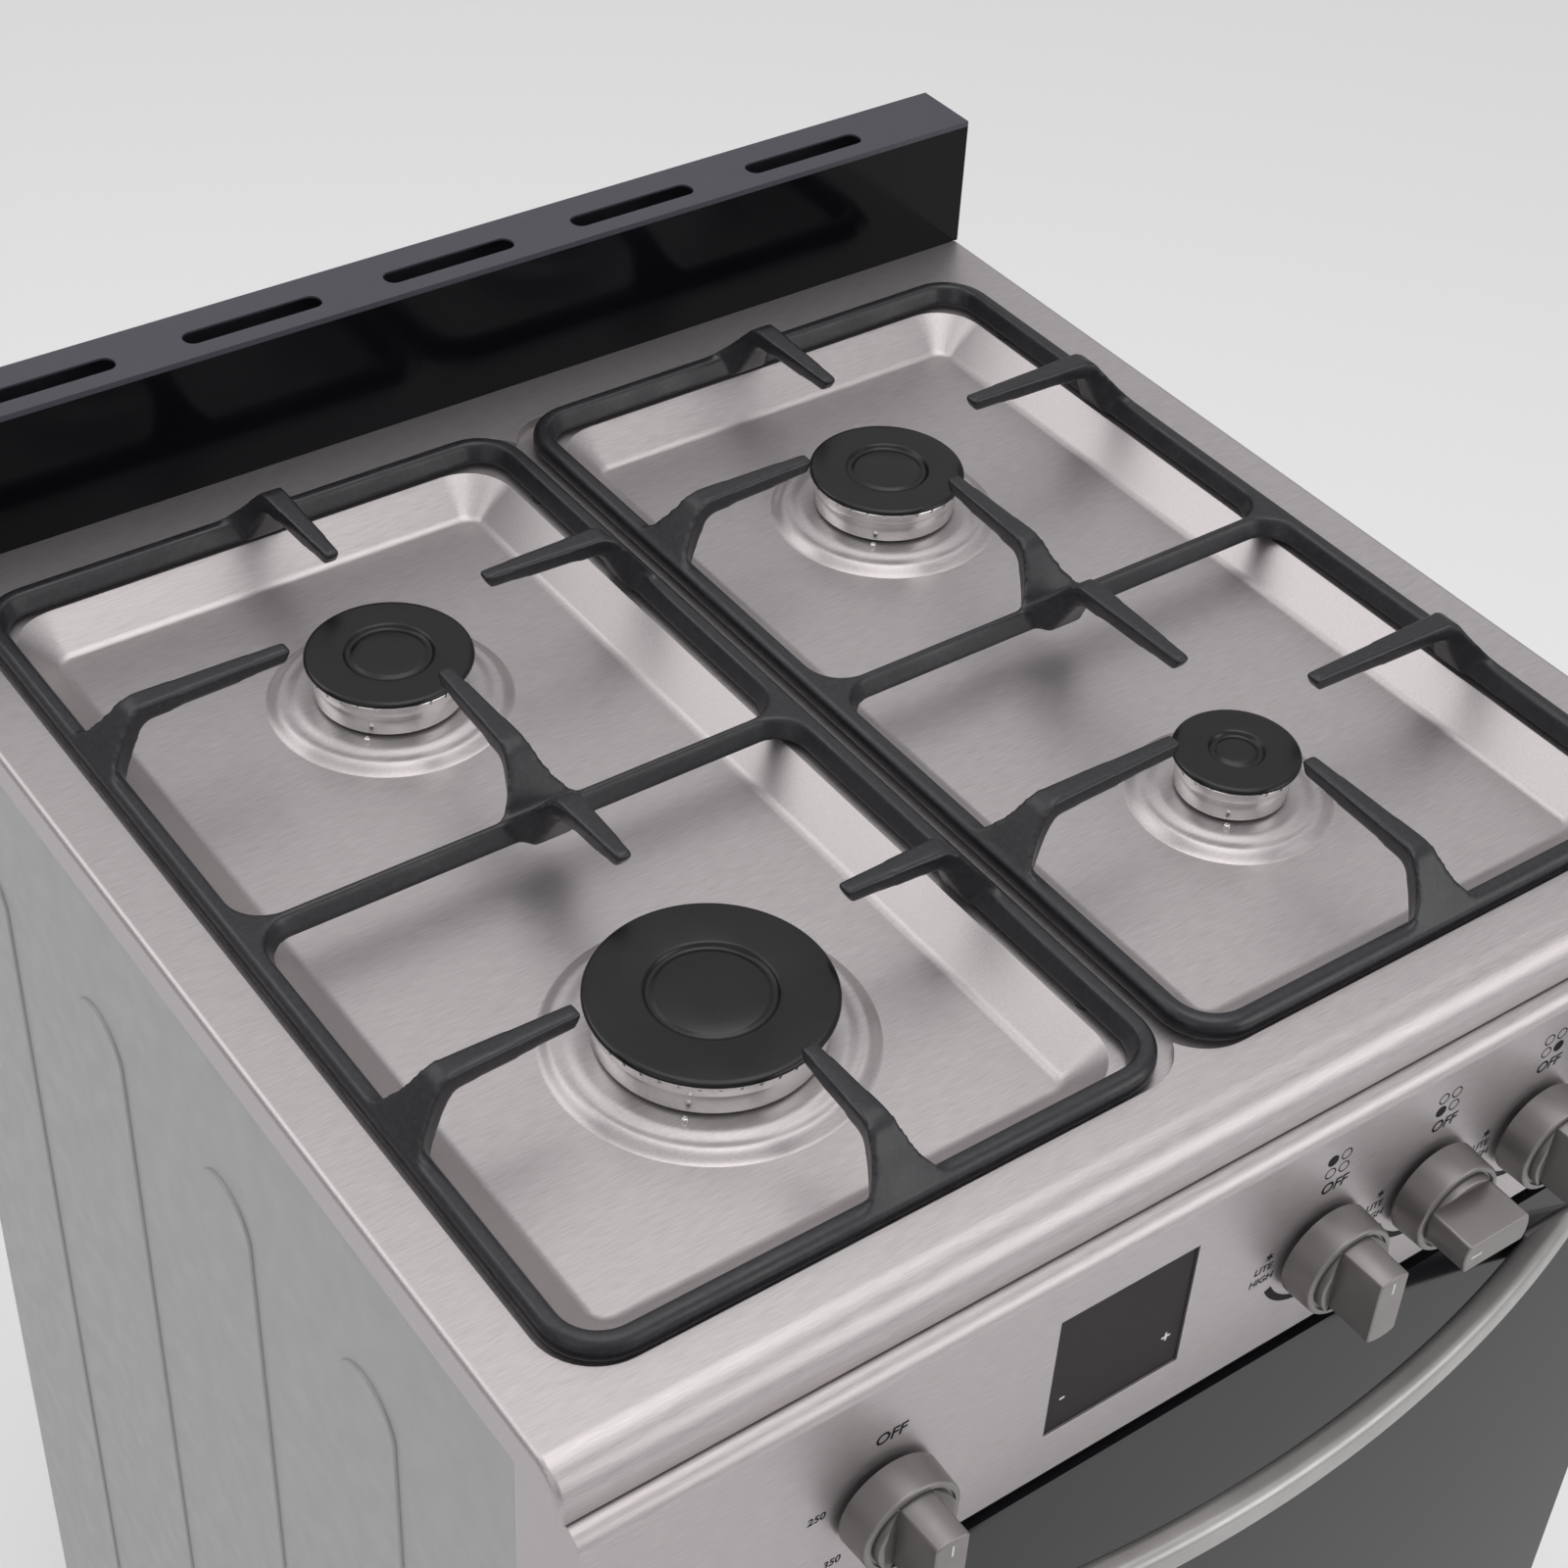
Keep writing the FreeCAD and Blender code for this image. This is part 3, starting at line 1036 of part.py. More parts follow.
def handle():
    """A bar bowed outwards whose thin ends lie flat on two feet on the door."""
    half = HANDLE_HALF
    seat = -s.panel_face - s.mount_thick
    front = seat - s.handle_tip
    sag = front + s.handle_reach
    bow = (half * half + sag * sag) / (2 * sag)
    low = s.deck_height - s.handle_drop - s.handle_height / 2
    high = low + s.handle_height
    bar = new_body("handle_bow")
    sketch = new_sketch(bar, "XY_Plane", low)
    outline(sketch, [(-half, front), (half, front, bow), (half, front + s.handle_thick),
                     (-half, front + s.handle_thick, -bow)])
    length = pad(bar, sketch, s.handle_height)
    soften(bar, length, s.handle_round, lambda edge: edge.Length > number(half))
    behind = box("handle_behind", both_sides(half + OVERCUT), (seat, front + s.handle_thick + OVERCUT),
                 (low - OVERCUT, high + OVERCUT))
    node("door_handle", cut("handle_bar", bar, behind))
    feet = []
    for side in (-1, 1):
        tip = half - s.mount_margin
        x = sorted((side * tip, side * (tip - s.mount_width)), key=number)
        feet.append(box(f"handle_foot_{side + 1}", x, (seat, -s.panel_face),
                        (low + s.mount_margin, high - s.mount_margin)))
    node("handle_mounts", group("handle_feet", *feet))


def drawer():
    """Steel front with a finger lip, open tray, side bars and the runners on the cabinet."""
    gauge = s.sheet_gauge
    face = -s.panel_face
    back = face + s.drawer_thick
    front_block = box("drawer_face", both_sides(DOOR_HALF), (face, back),
                      (s.drawer_bottom, DRAWER_TOP))
    scoop = box("drawer_scoop", both_sides(DRAWER_HALF / 2), (face + s.drawer_thick / 2, back + OVERCUT),
                (DRAWER_TOP - s.finger_lip, DRAWER_TOP + OVERCUT))
    node("drawer_front", cut("drawer_panel", front_block, scoop))
    half = DRAWER_HALF
    top = s.drawer_floor + s.drawer_wall
    block = box("drawer_block", both_sides(half), (back, DRAWER_BACK), (s.drawer_floor, top))
    hollow = box("drawer_hollow", both_sides(half - gauge), (back + gauge, DRAWER_BACK - gauge),
                 (s.drawer_floor + gauge, top + gauge))
    node("drawer_box", cut("drawer_tray", block, hollow))
    level = s.drawer_floor + s.slide_rise
    bars = []
    rails = []
    for side in (-1, 1):
        x = sorted((side * half, side * (half + s.slide_width)), key=number)
        bars.append(box(f"drawer_bar_{side + 1}", x,
                        (s.body_front + s.side_flange, DRAWER_BACK - s.slide_short),
                        (level, level + s.slide_height)))
        reach = HALF_BODY - gauge
        outer = sorted((side * (half + s.slide_width / 3), side * reach), key=number)
        rail = box(f"runner_block_{side + 1}", outer, (s.body_front + s.side_flange, DRAWER_BACK),
                   (level - s.runner_wall, level + s.slide_height + s.runner_wall))
        groove = sorted((side * half, side * (half + s.slide_width + s.running_gap)), key=number)
        way = box(f"runner_way_{side + 1}", groove, (s.body_front, DRAWER_BACK + OVERCUT),
                  (level - s.running_gap, level + s.slide_height + s.running_gap))
        rails.append(cut(f"runner_{side + 1}", rail, way))
    node("drawer_slides", group("drawer_bars", *bars))
    node("drawer_runners", group("runners", *rails))
    node("toe_kick", box("kick", (0, 2 * (HALF_BODY - s.side_flange - s.running_gap)), (0, gauge),
                         (0, s.drawer_bottom - FLOOR_TOP - s.toe_gap)),
         s.side_flange + s.running_gap - HALF_BODY, s.toe_setback, FLOOR_TOP)


def finish():
    """Check every object and sub-part, then write one file for each sub-part."""
    doc.recompute()
    failed = [item.Name for item in doc.Objects if {"Invalid", "Error"} & set(item.State)]
    for item in nodes:
        if item.Shape.isNull() or not item.Shape.isValid():
            failed.append(item.Label)
    if failed:
        raise SystemExit(f"failed: {failed}")
    os.makedirs("parts", exist_ok=True)
    for item in nodes:
        item.Shape.exportStep(f"parts/{item.Label}.step")
    print(len(nodes), "sub-parts written")


side_panels()
base_and_feet()
front_rails()
control_panel()
for name, x in KNOBS.items():
    knob(name, x)
valves()
supply_tubes()
backguard()
gas_inlet()
oven()
oven_door()
handle()
drawer()
deck()
burners()
grate(-1)
grate(1)
finish()
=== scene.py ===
"""Dresses the compact gas range: finishes, softened sheet and casting edges, burner rings,
printed marks and small fittings. Metres, +Z up, front towards -Y."""
import json
import math

import bpy
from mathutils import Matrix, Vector

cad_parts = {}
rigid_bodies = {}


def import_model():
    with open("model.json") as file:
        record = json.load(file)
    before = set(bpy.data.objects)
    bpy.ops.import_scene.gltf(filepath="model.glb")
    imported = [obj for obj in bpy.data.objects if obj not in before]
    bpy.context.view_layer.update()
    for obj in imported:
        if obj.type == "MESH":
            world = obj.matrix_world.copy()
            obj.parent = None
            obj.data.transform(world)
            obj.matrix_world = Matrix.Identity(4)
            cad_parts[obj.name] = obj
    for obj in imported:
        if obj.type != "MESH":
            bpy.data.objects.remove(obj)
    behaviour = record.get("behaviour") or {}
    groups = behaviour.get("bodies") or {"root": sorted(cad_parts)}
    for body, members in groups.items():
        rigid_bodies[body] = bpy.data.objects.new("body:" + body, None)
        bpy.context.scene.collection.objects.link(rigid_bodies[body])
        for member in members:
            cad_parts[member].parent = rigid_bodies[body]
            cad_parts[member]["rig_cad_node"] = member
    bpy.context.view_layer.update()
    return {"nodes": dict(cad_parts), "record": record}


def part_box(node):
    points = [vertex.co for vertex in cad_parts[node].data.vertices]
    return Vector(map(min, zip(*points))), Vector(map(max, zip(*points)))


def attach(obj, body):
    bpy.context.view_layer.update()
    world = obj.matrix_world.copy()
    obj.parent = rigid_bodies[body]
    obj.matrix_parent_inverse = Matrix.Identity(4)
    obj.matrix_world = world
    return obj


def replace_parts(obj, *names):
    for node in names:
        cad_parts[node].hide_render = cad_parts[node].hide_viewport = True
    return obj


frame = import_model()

MM = 0.001
MERGE = 0.01 * MM                  # points that lie closer than this become one
FLAT_ANGLE = math.radians(0.5)     # faces that differ by less become one
SHARP_ANGLE = math.radians(32)     # edges sharper than this are rounded
SMOOTH_ANGLE = math.radians(38)    # edges blunter than this are shaded smooth

nodes = frame["nodes"]
node_body = {node: body for body, members in frame["record"]["behaviour"]["bodies"].items()
             for node in members}
node_slot = {part["node"]: part["material_slot"] for part in frame["record"]["subparts"]}


# Finishes

PATTERN_LOW, PATTERN_HIGH = 0.3, 0.7    # nearly all of a noise pattern lies between these


def tone(red, green, blue):
    """A colour as it is read off a screen, turned into the linear values that shaders use."""
    levels = [level / 255 for level in (red, green, blue)]
    return tuple(level / 12.92 if level <= 0.04045 else ((level + 0.055) / 1.055) ** 2.4
                 for level in levels) + (1.0,)


class Finish:
    """A material with one shader, and short calls for the patterns that feed it."""

    def __init__(self, name, colour, roughness, metallic=0.0):
        self.material = bpy.data.materials.new(name)
        self.material.use_nodes = True
        self.tree = self.material.node_tree
        self.shader = self.tree.nodes["Principled BSDF"]
        self.set("Base Color", colour)
        self.set("Roughness", roughness)
        self.set("Metallic", metallic)
        self.place = self.tree.nodes.new("ShaderNodeTexCoord")

    def set(self, socket, value):
        """Gives one of the shader's inputs a fixed value."""
        self.shader.inputs[socket].default_value = value

    def feed(self, socket, source):
        """Drives one of the shader's inputs with a pattern."""
        self.tree.links.new(source, self.shader.inputs[socket])

    def noise(self, scale, detail=2.0, stretch=(1, 1, 1)):
        """Cloudy pattern; scale counts features per metre, stretch squeezes them along an axis."""
        mapping = self.tree.nodes.new("ShaderNodeMapping")
        mapping.inputs["Scale"].default_value = stretch
        self.tree.links.new(self.place.outputs["Object"], mapping.inputs["Vector"])
        texture = self.tree.nodes.new("ShaderNodeTexNoise")
        texture.inputs["Scale"].default_value = scale
        texture.inputs["Detail"].default_value = detail
        self.tree.links.new(mapping.outputs["Vector"], texture.inputs["Vector"])
        return texture.outputs["Fac"]

    def specks(self, scale, output="Distance"):
        """Scattered cells: the distance to their middles for flecks, or one tone for each."""
        texture = self.tree.nodes.new("ShaderNodeTexVoronoi")
        texture.inputs["Scale"].default_value = scale
        self.tree.links.new(self.place.outputs["Object"], texture.inputs["Vector"])
        return texture.outputs[output]

    def ramp(self, source, *stops):
        """Turns a pattern into colours: stops are (position, colour)."""
        node = self.tree.nodes.new("ShaderNodeValToRGB")
        elements = node.color_ramp.elements
        while len(elements) < len(stops):
            elements.new(0.5)
        for element, (position, colour) in zip(elements, stops):
            element.position = position
            element.color = colour
        self.tree.links.new(source, node.inputs["Fac"])
        return node.outputs["Color"]

    def levels(self, source, low, high):
        """Spreads a pattern between two plain numbers."""
        node = self.tree.nodes.new("ShaderNodeMapRange")
        node.inputs["From Min"].default_value = PATTERN_LOW
        node.inputs["From Max"].default_value = PATTERN_HIGH
        node.inputs["To Min"].default_value = low
        node.inputs["To Max"].default_value = high
        self.tree.links.new(source, node.inputs["Value"])
        return node.outputs["Result"]

    def bump(self, source, strength, depth):
        """Roughens the skin with a pattern, and returns the finish."""
        node = self.tree.nodes.new("ShaderNodeBump")
        node.inputs["Strength"].default_value = strength
        node.inputs["Distance"].default_value = depth
        self.tree.links.new(source, node.inputs["Height"])
        self.tree.links.new(node.outputs["Normal"], self.shader.inputs["Normal"])
        return self


def brushed_steel(name, light, dark, roughness):
    """Steel sheet with a fine grain along the width of the range."""
    finish = Finish(name, light, roughness, metallic=0.87)
    grain = finish.noise(1.0, stretch=(110, 1800, 1800))
    finish.feed("Base Color", finish.ramp(grain, (0.3, dark), (0.7, light)))
    finish.feed("Roughness", finish.levels(grain, roughness - 0.015, roughness + 0.015))
    return finish.bump(finish.noise(6.0, detail=1.0), strength=0.02, depth=1.0 * MM)


def painted_sheet(name, colour, shade, roughness):
    """Satin paint with a faint orange-peel skin and slow changes of tone."""
    finish = Finish(name, colour, roughness)
    finish.feed("Base Color", finish.ramp(finish.noise(5.0), (0.35, shade), (0.65, colour)))
    finish.feed("Roughness", finish.levels(finish.noise(60.0), roughness - 0.06, roughness + 0.06))
    return finish.bump(finish.noise(700.0), strength=0.06, depth=0.1 * MM)


def zinc_sheet(name, light, dark):
    """Galvanised sheet: a faint spangle of small flat crystals."""
    finish = Finish(name, light, 0.46, metallic=0.5)
    spangle = finish.specks(85.0, "Color")
    finish.feed("Base Color", finish.ramp(spangle, (0.2, dark), (0.8, light)))
    finish.feed("Roughness", finish.levels(spangle, 0.42, 0.5))
    return finish


def cast_enamel(name, colour, fleck, roughness, skin, sheen=0.5):
    """Satin enamel over a sand-cast skin, with painted glints: a little lighter where the grains
    stand up, as where they catch the light.
    """
    finish = Finish(name, colour, roughness)
    finish.set("Specular IOR Level", sheen)
    grain = finish.noise(420.0, detail=3.0)
    # painted glint: the raised grains get the lighter fleck tone, as where light catches them
    finish.feed("Base Color", finish.ramp(grain, (0.45, colour), (0.75, fleck)))
    finish.feed("Roughness", finish.levels(finish.noise(40.0), roughness - 0.06, roughness + 0.08))
    return finish.bump(grain, strength=skin, depth=0.4 * MM)


def gloss_glass(name, colour, shade, roughness, sheen=0.5):
    """Printed glass: a dark body under a polished face, with faint wiping marks."""
    finish = Finish(name, colour, roughness)
    finish.set("Specular IOR Level", sheen)
    marks = finish.noise(14.0, detail=3.0, stretch=(1, 1, 0.3))
    finish.feed("Roughness", finish.levels(marks, roughness, roughness + 0.05))
    finish.feed("Base Color", finish.ramp(finish.noise(9.0), (0.3, colour), (0.7, shade)))
    return finish


def bright_metal(name, colour, roughness, ripple=0.08):
    """Bare or plated metal with faint wear."""
    finish = Finish(name, colour, roughness, metallic=1.0)
    wear = finish.noise(320.0, detail=3.0)
    finish.feed("Roughness", finish.levels(wear, roughness - 0.04, roughness + 0.06))
    return finish.bump(wear, strength=ripple, depth=0.05 * MM)


def satin_lacquer(name, colour, shade, roughness):
    """Metallic lacquer on the knobs and the handle: even, soft sheen, very fine grit."""
    finish = Finish(name, colour, roughness, metallic=0.65)
    finish.feed("Base Color", finish.ramp(finish.noise(30.0), (0.35, shade), (0.65, colour)))
    finish.feed("Roughness", finish.levels(finish.noise(140.0), roughness - 0.04, roughness + 0.04))
    return finish.bump(finish.noise(1600.0), strength=0.06, depth=0.05 * MM)


def speckled_enamel(name, colour, fleck):
    """Oven enamel: dark gloss with scattered pale flecks."""
    finish = Finish(name, colour, 0.25)
    flecks = finish.ramp(finish.specks(260.0), (0.0, fleck), (0.12, fleck), (0.2, colour))
    finish.feed("Base Color", flecks)
    return finish.bump(finish.noise(300.0), strength=0.1, depth=0.1 * MM)


def soft_black(name, colour, roughness):
    """Black paint or rubber with an uneven, grainy sheen."""
    finish = Finish(name, colour, roughness)
    finish.feed("Roughness", finish.levels(finish.noise(80.0), roughness - 0.08, roughness + 0.08))
    return finish.bump(finish.noise(900.0), strength=0.2, depth=0.1 * MM)


def woven_seal(name, colour, shade):
    """Glass-fibre sleeve: a fine diagonal weave."""
    finish = Finish(name, colour, 0.9)
    wave = finish.tree.nodes.new("ShaderNodeTexWave")
    wave.bands_direction = "DIAGONAL"
    wave.inputs["Scale"].default_value = 300.0
    wave.inputs["Distortion"].default_value = 2.0
    finish.tree.links.new(finish.place.outputs["Object"], wave.inputs["Vector"])
    finish.feed("Base Color", finish.ramp(wave.outputs["Fac"], (0.2, shade), (0.8, colour)))
    return finish.bump(wave.outputs["Fac"], strength=0.5, depth=0.3 * MM)


FINISHES = {
    "stainless": brushed_steel("stainless_sheet", tone(194, 188, 189), tone(179, 173, 174), 0.41),
    "side_paint": painted_sheet("grey_side_paint", tone(165, 164, 166), tone(164, 163, 165), 0.42),
    "zinc_steel": zinc_sheet("dull_zinc", tone(166, 168, 170), tone(152, 154, 157)),
    "black_steel": soft_black("semi_matt_black", tone(26, 26, 28), 0.5),
    "guard_steel": painted_sheet("guard_top_paint", tone(66, 65, 74), tone(62, 61, 70), 0.5),
    "black_glass": gloss_glass("guard_black_glass", tone(11, 11, 14), tone(15, 15, 19), 0.1, 0.12),
    "door_glass": gloss_glass("door_dark_glass", tone(28, 28, 31), tone(24, 24, 27), 0.08, 0.2),
    "clear_glass": gloss_glass("inner_pane_glass", tone(58, 62, 62), tone(50, 54, 54), 0.06),
    "display": gloss_glass("display_smoked", tone(40, 36, 38), tone(36, 32, 34), 0.36, 0.12),
    # the second tone of the grate and cap enamel is a painted glint on the raised grains
    "cast_grate": cast_enamel("pan_support_enamel", tone(28, 28, 32), tone(40, 40, 45),
                              0.36, skin=0.15),
    "cap_enamel": cast_enamel("burner_cap_enamel", tone(11, 10, 12), tone(15, 14, 16),
                              0.28, skin=0.04, sheen=0.4),
    "burner_alloy": bright_metal("burner_aluminium", tone(224, 223, 222), 0.18, ripple=0.01),
    "knob_satin": satin_lacquer("knob_satin_grey", tone(138, 134, 133), tone(131, 127, 126), 0.38),
    "oven_enamel": speckled_enamel("oven_speckle", tone(48, 50, 56), tone(150, 152, 158)),
    "rack_chrome": bright_metal("rack_plating", tone(220, 220, 222), 0.12),
    "brass": bright_metal("plain_brass", tone(206, 172, 110), 0.3),
    "plain_steel": bright_metal("plain_steel", tone(170, 170, 172), 0.35),
    "rubber": soft_black("black_rubber", tone(24, 24, 24), 0.7),
    "seal": woven_seal("door_seal_weave", tone(112, 112, 114), tone(66, 66, 68)),
    "ceramic": painted_sheet("spark_ceramic", tone(232, 228, 220), tone(220, 214, 204), 0.25),
}
HANDLE_SATIN = satin_lacquer("handle_satin", tone(176, 173, 172), tone(166, 163, 162), 0.34)
PRINT_DARK = painted_sheet("panel_print", tone(34, 33, 35), tone(28, 27, 29), 0.6)
PRINT_DARK.set("Specular IOR Level", 0.15)
PRINT_LIGHT = painted_sheet("pale_print", tone(226, 226, 226), tone(214, 214, 214), 0.5)


def paint(piece, finish):
    """Gives a piece one finish in place of what it had."""
    piece.data.materials.clear()
    piece.data.materials.append(finish.material)


for node, item in nodes.items():
    paint(item, FINISHES[node_slot[node]])


# Ways of making pieces

def only(piece):
    """Makes a piece the one selected and active object."""
    bpy.ops.object.select_all(action="DESELECT")
    piece.select_set(True)
    bpy.context.view_layer.objects.active = piece


def added(name):
    """The object that the last call added or changed, named and alone in the selection."""
    piece = bpy.context.active_object
    piece.name = name
    only(piece)
    return piece


def fix_in_place(piece):
    """Works a piece's location, rotation and scale into its mesh."""
    only(piece)
    bpy.ops.object.transform_apply(location=True, rotation=True, scale=True)


def close_mesh():
    """Merges doubled points and turns all faces outwards, and leaves edit mode."""
    bpy.ops.mesh.select_all(action="SELECT")
    bpy.ops.mesh.remove_doubles(threshold=MERGE)
    bpy.ops.mesh.normals_make_consistent(inside=False)
    bpy.ops.object.mode_set(mode="OBJECT")


def apply_modifiers(piece):
    """Works a piece's modifiers into its mesh, in their order."""
    only(piece)
    for modifier in list(piece.modifiers):
        bpy.ops.object.modifier_apply(modifier=modifier.name)


def settle(piece, body, slot, finish=None):
    """Finishes a piece: smooth shading, its finish, and the body that it rides."""
    fix_in_place(piece)
    bpy.ops.object.shade_smooth_by_angle(angle=SMOOTH_ANGLE)
    paint(piece, finish or FINISHES[slot])
    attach(piece, body)
    return piece


def merged_copy(node):
    """A copy of a CAD node's mesh with its doubled points merged."""
    only(nodes[node])
    bpy.ops.object.duplicate()
    piece = bpy.context.active_object
    piece.name = f"{node}_soft"
    del piece["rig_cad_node"]
    bpy.ops.object.mode_set(mode="EDIT")
    bpy.ops.mesh.select_all(action="SELECT")
    bpy.ops.mesh.remove_doubles(threshold=MERGE)
    bpy.ops.mesh.dissolve_limited(angle_limit=FLAT_ANGLE)
    bpy.ops.object.mode_set(mode="OBJECT")
    bpy.ops.mesh.customdata_custom_splitnormals_clear()
    return piece


def melted(node, grain, passes, kept_share):
    """A copy of a CAD node whose edges are melted round, as on a casting, shown in its place."""
    piece = merged_copy(node)
    skin = piece.modifiers.new("even_skin", "REMESH")
    skin.mode = "VOXEL"
    skin.voxel_size = grain
    melt = piece.modifiers.new("melt", "SMOOTH")
    melt.factor = 0.5
    melt.iterations = passes
    thin = piece.modifiers.new("thin_out", "DECIMATE")
    thin.ratio = kept_share
    apply_modifiers(piece)
    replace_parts(piece, node)
    settle(piece, node_body[node], node_slot[node])


def weigh_forward_edges(piece, front):
    """Gives full bevel weight to the sharp edges whose middle lies forward of a Y."""
    only(piece)
    bpy.ops.object.mode_set(mode="EDIT")
    bpy.ops.mesh.select_mode(type="EDGE")
    bpy.ops.mesh.select_all(action="DESELECT")
    bpy.ops.mesh.edges_select_sharp(sharpness=SHARP_ANGLE)
    bpy.ops.object.mode_set(mode="OBJECT")
    corners = piece.data.vertices
    for face in piece.data.polygons:
        face.select = False
    for edge in piece.data.edges:
        middle = (corners[edge.vertices[0]].co.y + corners[edge.vertices[1]].co.y) / 2
        edge.select = edge.select and middle < front
    bpy.ops.object.mode_set(mode="EDIT")
    bpy.ops.transform.edge_bevelweight(value=1.0)
    bpy.ops.object.mode_set(mode="OBJECT")


def softened(node, width, segments, front=None):
    """A merged copy of a CAD node with its sharp edges rounded, shown in the node's place.
    With a front, only sharp edges that lie forward of that Y are rounded."""
    piece = merged_copy(node)
    bevel = piece.modifiers.new("rounding", "BEVEL")
    bevel.width = width
    bevel.segments = segments
    bevel.limit_method = "ANGLE" if front is None else "WEIGHT"
    bevel.angle_limit = SHARP_ANGLE
    bevel.use_clamp_overlap = front is None
    if front is not None:
        weigh_forward_edges(piece, front)
    apply_modifiers(piece)
    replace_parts(piece, node)
    settle(piece, node_body[node], node_slot[node])
    even = piece.modifiers.new("even_normals", "WEIGHTED_NORMAL")
    even.keep_sharp = True
    even.weight = 100
    apply_modifiers(piece)


def stepped(*rings):
    """A lathe profile from rings (base radius, millimetres outwards, millimetres up)."""
    return [(base + out * MM, up * MM) for base, out, up in rings]


def lathe(name, profile, centre, steps, closed=True):
    """A round piece drawn ring by ring: profile lists (radius, height) from the first ring on.
    A closed piece gets a face over its first and its last ring."""
    radius, height = profile[0]
    bpy.ops.mesh.primitive_circle_add(vertices=steps, radius=radius,
                                      fill_type="NGON" if closed else "NOTHING",
                                      location=(centre[0], centre[1], centre[2] + height))
    piece = added(name)
    fix_in_place(piece)
    bpy.ops.object.mode_set(mode="EDIT")
    bpy.ops.mesh.select_mode(type="EDGE")
    bpy.ops.mesh.select_all(action="SELECT")
    for next_radius, next_height in profile[1:]:
        bpy.ops.mesh.extrude_edges_move(
            TRANSFORM_OT_translate={"value": (0, 0, next_height - height)})
        grow = next_radius / radius
        bpy.ops.transform.resize(value=(grow, grow, 1), center_override=centre)
        radius, height = next_radius, next_height
    if closed:
        bpy.ops.mesh.edge_face_add()
    close_mesh()
    return piece


def joined(name, pieces):
    """Two or more pieces as one object, under a new name."""
    only(pieces[0])
    for piece in pieces[1:]:
        piece.select_set(True)
    bpy.ops.object.join()
    return added(name)


# Burners and pan supports

BURNER_NAMES = ("rear_left", "rear_right", "front_left", "front_right")
WELL_FLOOR = 0.894
RING_STEPS, BURNER_STEPS, SPARK_STEPS = 120, 128, 32

# The deck's pressed rings, in millimetres outwards from the cap's edge and upwards
RING_OUTER, RING_INNER, RING_SINK = 18, -12, 0.1
LOW_STEP_RISE, LOW_STEP_RUN = 3.7, 7
HIGH_STEP_EDGE, HIGH_STEP_RISE, HIGH_STEP_RUN = 9, 1.5, 6

# Flame ports: spacing, size of a slot inwards, across and upwards, and height of its middle
PORT_PITCH = 7.9 * MM
PORT_SIZE = (2.6 * MM, 1.3 * MM, 3.4 * MM)
PORT_MIDDLE = 0.8 * MM

# How far out the ring recess in a cap lies, as a share of the cap's radius
DISH_SHARE = {"rear_left": 0.52, "rear_right": 0.52, "front_left": 0.52, "front_right": 0.42}


def cap_place(name):
    """Centre, radius and under side of one burner cap."""
    low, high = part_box(f"burner_cap_{name}")
    return (low.x + high.x) / 2, (low.y + high.y) / 2, (high.x - low.x) / 2, low.z


def eased(share):
    """A soft step from 0 to 1."""
    share = min(max(share, 0.0), 1.0)
    return share * share * (3 - 2 * share)


def pressed_ring(name):
    """The two soft steps that are pressed into the deck round one burner."""
    x, y, cap, _ = cap_place(name)
    profile = []
    for out in range(RING_OUTER, RING_INNER - 1, -1):
        low_step = LOW_STEP_RISE * eased((RING_OUTER - out) / LOW_STEP_RUN)
        high_step = HIGH_STEP_RISE * eased((HIGH_STEP_EDGE - out) / HIGH_STEP_RUN)
        profile.append((cap + out * MM, (low_step + high_step - RING_SINK) * MM))
    return lathe(f"ring_{name}", profile, (x, y, WELL_FLOOR), RING_STEPS, closed=False)


deck_rings = joined("deck_burner_rings", [pressed_ring(name) for name in BURNER_NAMES])
settle(deck_rings, "cabinet", "stainless")


def cut_ports(ring, centre, radius):
    """Cuts the flame ports as slots into the upper edge of a burner's band."""
    count = round(2 * math.pi * radius / PORT_PITCH)
    bpy.ops.mesh.primitive_cube_add(
        size=1, location=(centre[0] + radius, centre[1], centre[2] + PORT_MIDDLE))
    cutter = added("port_cutter")
    cutter.scale = PORT_SIZE
    fix_in_place(cutter)
    bpy.ops.object.mode_set(mode="EDIT")
    bpy.ops.mesh.select_all(action="SELECT")
    bpy.ops.mesh.spin(steps=count, dupli=True, angle=2 * math.pi, center=centre, axis=(0, 0, 1))
    close_mesh()
    slots = ring.modifiers.new("ports", "BOOLEAN")
    slots.operation = "DIFFERENCE"
    slots.object = cutter
    apply_modifiers(ring)
    only(cutter)
    bpy.ops.object.delete()


def burner_ring(name):
    """Polished ring under a cap: plain skirt, a fine step and a pale flared band with ports."""
    x, y, cap, seat = cap_place(name)
    skirt, band, bore = cap - 3.2 * MM, cap - 1.2 * MM, cap - 11.2 * MM
    profile = stepped(
        (bore, 0, -14.7), (skirt, -0.9, -14.7), (skirt, -0.25, -14.45), (skirt, 0, -13.9),
        (skirt, 0, -5.3), (skirt, -0.3, -5.0), (skirt, -0.3, -4.7), (skirt, 0.7, -4.5),
        (band, 0, 0.9), (band, -0.3, 1.4), (band, -1.5, 1.5), (band, -2.0, 1.3),
        (band, -2.2, -0.4), (bore, 0, -0.4), (bore, 0, -14.7))
    ring = lathe(f"skirt_{name}", profile, (x, y, seat), BURNER_STEPS, closed=False)
    cut_ports(ring, (x, y, seat), band)
    return ring


def spark_place(name):
    """Where a burner's spark electrode stands: at the front left, just outside the cap."""
    x, y, cap, seat = cap_place(name)
    away = (cap + 0.4 * MM) * math.sqrt(0.5)
    return x - away, y - away, seat


